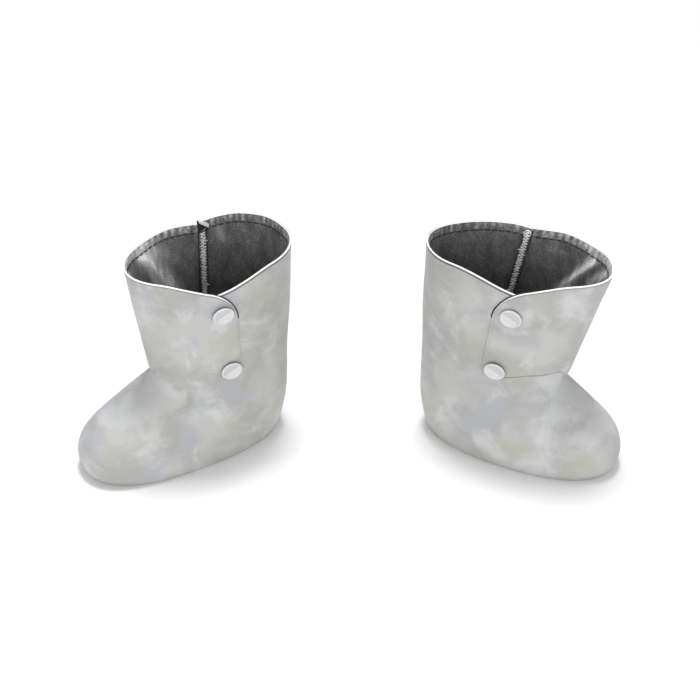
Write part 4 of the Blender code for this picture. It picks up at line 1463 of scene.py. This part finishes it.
@dataclass
class RimTopstitch:
    """The dark topstitch that holds the hem, on the lining under the rim."""

    form: CoverForm
    finishes: Finishes
    stitch: float = 3.5 * MM
    pitch: float = 5.0 * MM

    def run_of(self, start: float, end: float, top: Callable[[float], float],
               lift: Callable[[float], float]) -> list[list[Vector]]:
        """Lays stitches from one angle to another.

        Args:
            start: The angle of the first stitch.
            end: The angle where they stop.
            top: Gives the rim's height over the ankle.
            lift: Gives how far the layer rides out.

        Returns:
            The points of each stitch.
        """
        stitches, angle = [], start
        while angle < end:
            point, nearby = (self.form.at_height(turn, top(angle) - HEM_WIDTH)
                             for turn in (angle, angle + 0.01))
            per_angle = (nearby - point).length / 0.01
            run = []
            for share, sunk in ((0.0, 0.45), (0.2, 0.0), (0.5, -0.05), (0.8, 0.0), (1.0, 0.45)):
                place = angle + share * self.stitch / per_angle
                point, _, _, out = self.form.frame_at(place, top(place) - HEM_WIDTH)
                run.append(point + out * (lift(place) - (1.58 - sunk) * MM))
            stitches.append(run)
            angle += self.pitch / per_angle
        return stitches

    def build(self) -> None:
        """Builds the topstitch of the body and of the flap."""
        gap = math.radians(5.0)
        body = self.run_of(BODY_EDGE + gap, SEAM_ANGLE + 2.0 * math.pi - gap, self.form.body_top,
                           lambda angle: 0.0)
        flap = self.run_of(SEAM_ANGLE + gap, FLAP_EDGE - UPPER_CORNER_ARC, self.form.flap_top,
                           flap_lift)
        thread(self.form, "rim_topstitch", body + flap, BLACK_THREAD_RADIUS,
               self.finishes.black_thread)


@dataclass
class BottomPlates:
    """The doubled sole and the lining's flat bottom."""

    form: CoverForm
    finishes: Finishes
    points: int = 160

    def outline(self, inset: float) -> list[Vector]:
        """Lists the sole's outline, drawn in by inset."""
        raw = [self.form.point(2.0 * math.pi * i / self.points, 0.0) for i in range(self.points)]
        drawn = []
        for i, point in enumerate(raw):
            along = raw[(i + 1) % self.points] - raw[i - 1]
            drawn.append(point + Vector((-along.y, along.x, 0.0)).normalized() * inset)
        return drawn

    def plate(self, name: str, inset: float, bottom: float, thick: float,
              material: bpy.types.Material, node: str, slot: str) -> bpy.types.Object:
        """Builds one plate with soft edges.

        Args:
            name: The piece's name without its side.
            inset: How far its outline is drawn in.
            bottom: The height of its underside.
            thick: Its thickness.
            material: Its finish.
            node: The CAD node that it stands for.
            slot: The record's material slot; it is not used.

        Returns:
            The plate.
        """
        bm = bmesh.new()
        face = bm.faces.new([bm.verts.new((p.x, p.y, bottom)) for p in self.outline(inset)])
        extrude_by(bm, [face], lambda vert: Vector((0.0, 0.0, thick)))
        caps = [f for f in bm.faces if len(f.verts) > 4]
        rims = list({edge for cap in caps for edge in cap.edges})
        bmesh.ops.bevel(bm, geom=rims, offset=thick * 0.42, offset_type="OFFSET", segments=3,
                        profile=0.5, affect="EDGES", material=-1, clamp_overlap=True)
        return finish_mesh(self.form, bm, name, material, node, slot)

    def build(self) -> None:
        """Builds the sole and the insole."""
        sole = self.plate("sole_cloth", 0.7 * MM, 0.0, 2.0 * MM, self.finishes.sole, "sole",
                          "sole_cloth")
        insole = self.plate("insole_fleece", 1.3 * MM, 2.3 * MM, 1.0 * MM, self.finishes.lining,
                            "insole", "lining_cloth")


def cover_forms() -> tuple[CoverForm, CoverForm]:
    """Gives the two covers as they stand. The right shaft is squashed flatter and leans forward."""
    left = CoverForm(
        Side.LEFT, math.radians(62.0), (-0.0747, 0.0200), LEFT_RINGS,
        seam_turns=(math.radians(3.8), math.radians(-3.1)), closure_turn=math.radians(1.5),
        seam_step=2.0 * MM, flap_dip=(14.0 * MM, math.radians(36.0), math.radians(96.0)),
        rim_waves=(RimWave(180.0, 214.0, 230.0, 262.0, 2.2 * MM),),
        snaps=(SnapPlace("upper", math.radians(78.9), 126.8 * MM, 0.190),
               SnapPlace("lower", math.radians(81.4), 79.4 * MM, 0.130)),
        lining_folds=folds(
            (-24, 1.74, 0.08, 0.30, 1.1, 1.8),
            (-56, 1.74, 0.09, 0.30, 1.0, 2.2),
            (-78, 1.74, 0.08, 0.26, 0.8, 1.1),
            (-112, 1.80, 0.08, 0.16, 0.3, 0.9),
            (-140, 1.62, 0.10, 0.30, 0.10, 0.9),
            (-170, 1.45, 0.10, 0.34, 0.05, 0.7),
        ),
        nap_highlight_bands=nap_highlight_bands(
            (-46.0, 6.0, -67.0, 46.0, 3.5, 1.80),
            (-56.0, 7.0, -74.0, 44.0, 4.2, 0.85),
            (-50.0, 10.0, -78.0, 50.0, 12.0, 0.22),
            (-14.0, 6.0, -28.0, 28.0, 4.2, 0.80),
            (-62.0, 9.0, -76.0, 24.0, 3.4, 0.25),
            (-111.0, 9.0, -114.0, 16.0, 3.0, 0.3),
        ),
        hem_shade=0.0)
    right = CoverForm(
        Side.RIGHT, math.radians(63.5), (-0.0778, 0.0190), RIGHT_RINGS,
        seam_turns=(math.radians(-1.5), math.radians(4.3)), closure_turn=math.radians(-1.5),
        seam_step=0.0, flap_dip=(13.5 * MM, math.radians(42.0), math.radians(98.0)),
        rim_waves=(RimWave(96.0, 142.0, 200.0, 285.0, -3.4 * MM),
                   RimWave(268.0, 290.0, 330.0, 353.0, 2.2 * MM)),
        snaps=(SnapPlace("upper", math.radians(77.5), 128.6 * MM, 0.105),
               SnapPlace("lower", math.radians(79.2), 83.1 * MM, 0.170)),
        lining_folds=folds(
            (-26, 1.78, 0.06, 0.22, 0.9, 1.4),
            (-52, 1.74, 0.08, 0.30, 1.3, 2.1),
            (-78, 1.82, 0.14, 0.05, 0.0, 0.7),
            (-74, 1.73, 0.14, 0.05, 0.0, 0.6),
            (-145, 1.60, 0.10, 0.32, 0.10, 0.8),
            (160, 1.60, 0.08, 0.30, 0.05, 0.8),
        ),
        nap_highlight_bands=nap_highlight_bands(
            (-44.0, 8.0, -64.0, 46.0, 3.6, 1.05),
            (-22.0, 7.0, -38.0, 24.0, 3.2, 0.70),
            (-84.0, 13.0, -68.0, 15.0, 1.6, 0.16),
        ),
        hem_shade=0.5)
    return left, right


@dataclass(frozen=True)
class Softbox:
    """One studio light, aimed at the pair."""

    name: str
    at: tuple[float, float, float]
    size: float
    watts: float

    def build(self) -> None:
        """Hangs the light."""
        data = bpy.data.lights.new(self.name, "AREA")
        data.shape = "SQUARE"
        data.size = self.size
        data.energy = self.watts
        lamp = bpy.data.objects.new(self.name, data)
        lamp.location = self.at
        lamp.rotation_euler = (Vector((0.0, 0.0, 0.05)) - Vector(self.at)).to_track_quat(
            "-Z", "Y").to_euler()
        bpy.context.scene.collection.objects.link(lamp)


@dataclass(frozen=True)
class Studio:
    """The floor, the light and the camera."""

    aim: tuple[float, float, float] = (-0.0002, 0.0120, 0.0700)
    elevation: float = math.radians(35.0)
    distance: float = 1.2
    lens: float = 88.16
    sensor: float = 36.0
    sky: float = 0.66
    floor_size: float = 8.0

    def build(self) -> None:
        """Sets up the stage."""
        self.set_camera()
        self.lay_floor()
        self.set_light()
        bpy.context.scene.view_settings.view_transform = "Standard"

    def set_camera(self) -> None:
        """Aims the camera down at the pair from the front."""
        data = bpy.data.cameras.new("front_camera")
        data.lens = self.lens
        data.sensor_width = self.sensor
        camera = bpy.data.objects.new("front_camera", data)
        back = Vector((0.0, -math.cos(self.elevation), math.sin(self.elevation)))
        camera.location = Vector(self.aim) + back * self.distance
        camera.rotation_euler = (math.pi / 2 - self.elevation, 0.0, 0.0)
        bpy.context.scene.collection.objects.link(camera)
        bpy.context.scene.camera = camera

    def lay_floor(self) -> None:
        """Lays the paper floor, which isn't a piece of the part."""
        bm = bmesh.new()
        bmesh.ops.create_grid(bm, x_segments=1, y_segments=1, size=self.floor_size / 2)
        mesh = bpy.data.meshes.new("studio_floor")
        bm.to_mesh(mesh)
        bm.free()
        mesh.materials.append(StudioPaper().material())
        floor = bpy.data.objects.new("studio_floor", mesh)
        bpy.context.scene.collection.objects.link(floor)

    def set_light(self) -> None:
        """Sets the even white surroundings and hangs the lights."""
        world = bpy.data.worlds.new("studio_world")
        world.use_nodes = True
        backdrop = world.node_tree.nodes["Background"]
        backdrop.inputs["Color"].default_value = linear("#FFFFFF")
        backdrop.inputs["Strength"].default_value = self.sky
        bpy.context.scene.world = world
        for light in (Softbox("overhead_softbox", (0.0, 0.32, 2.40), 0.50, 40.0),
                      Softbox("front_fill", (-0.35, -1.7, 0.55), 1.0, 10.0),
                      Softbox("front_fill_low", (0.5, -1.7, 0.45), 1.0, 6.0)):
            light.build()


def main() -> None:
    """Builds both covers and the studio."""
    logging.basicConfig(level=logging.INFO, format="%(message)s")
    finishes = Finishes.build()
    Studio().build()
    for form in cover_forms():
        for part in (BodyPanel, FrontFlap, BottomPlates, SideSeam, RimTopstitch, SnapPair):
            part(form, finishes).build()
    bpy.context.view_layer.update()


if __name__ == "__main__":
    main()
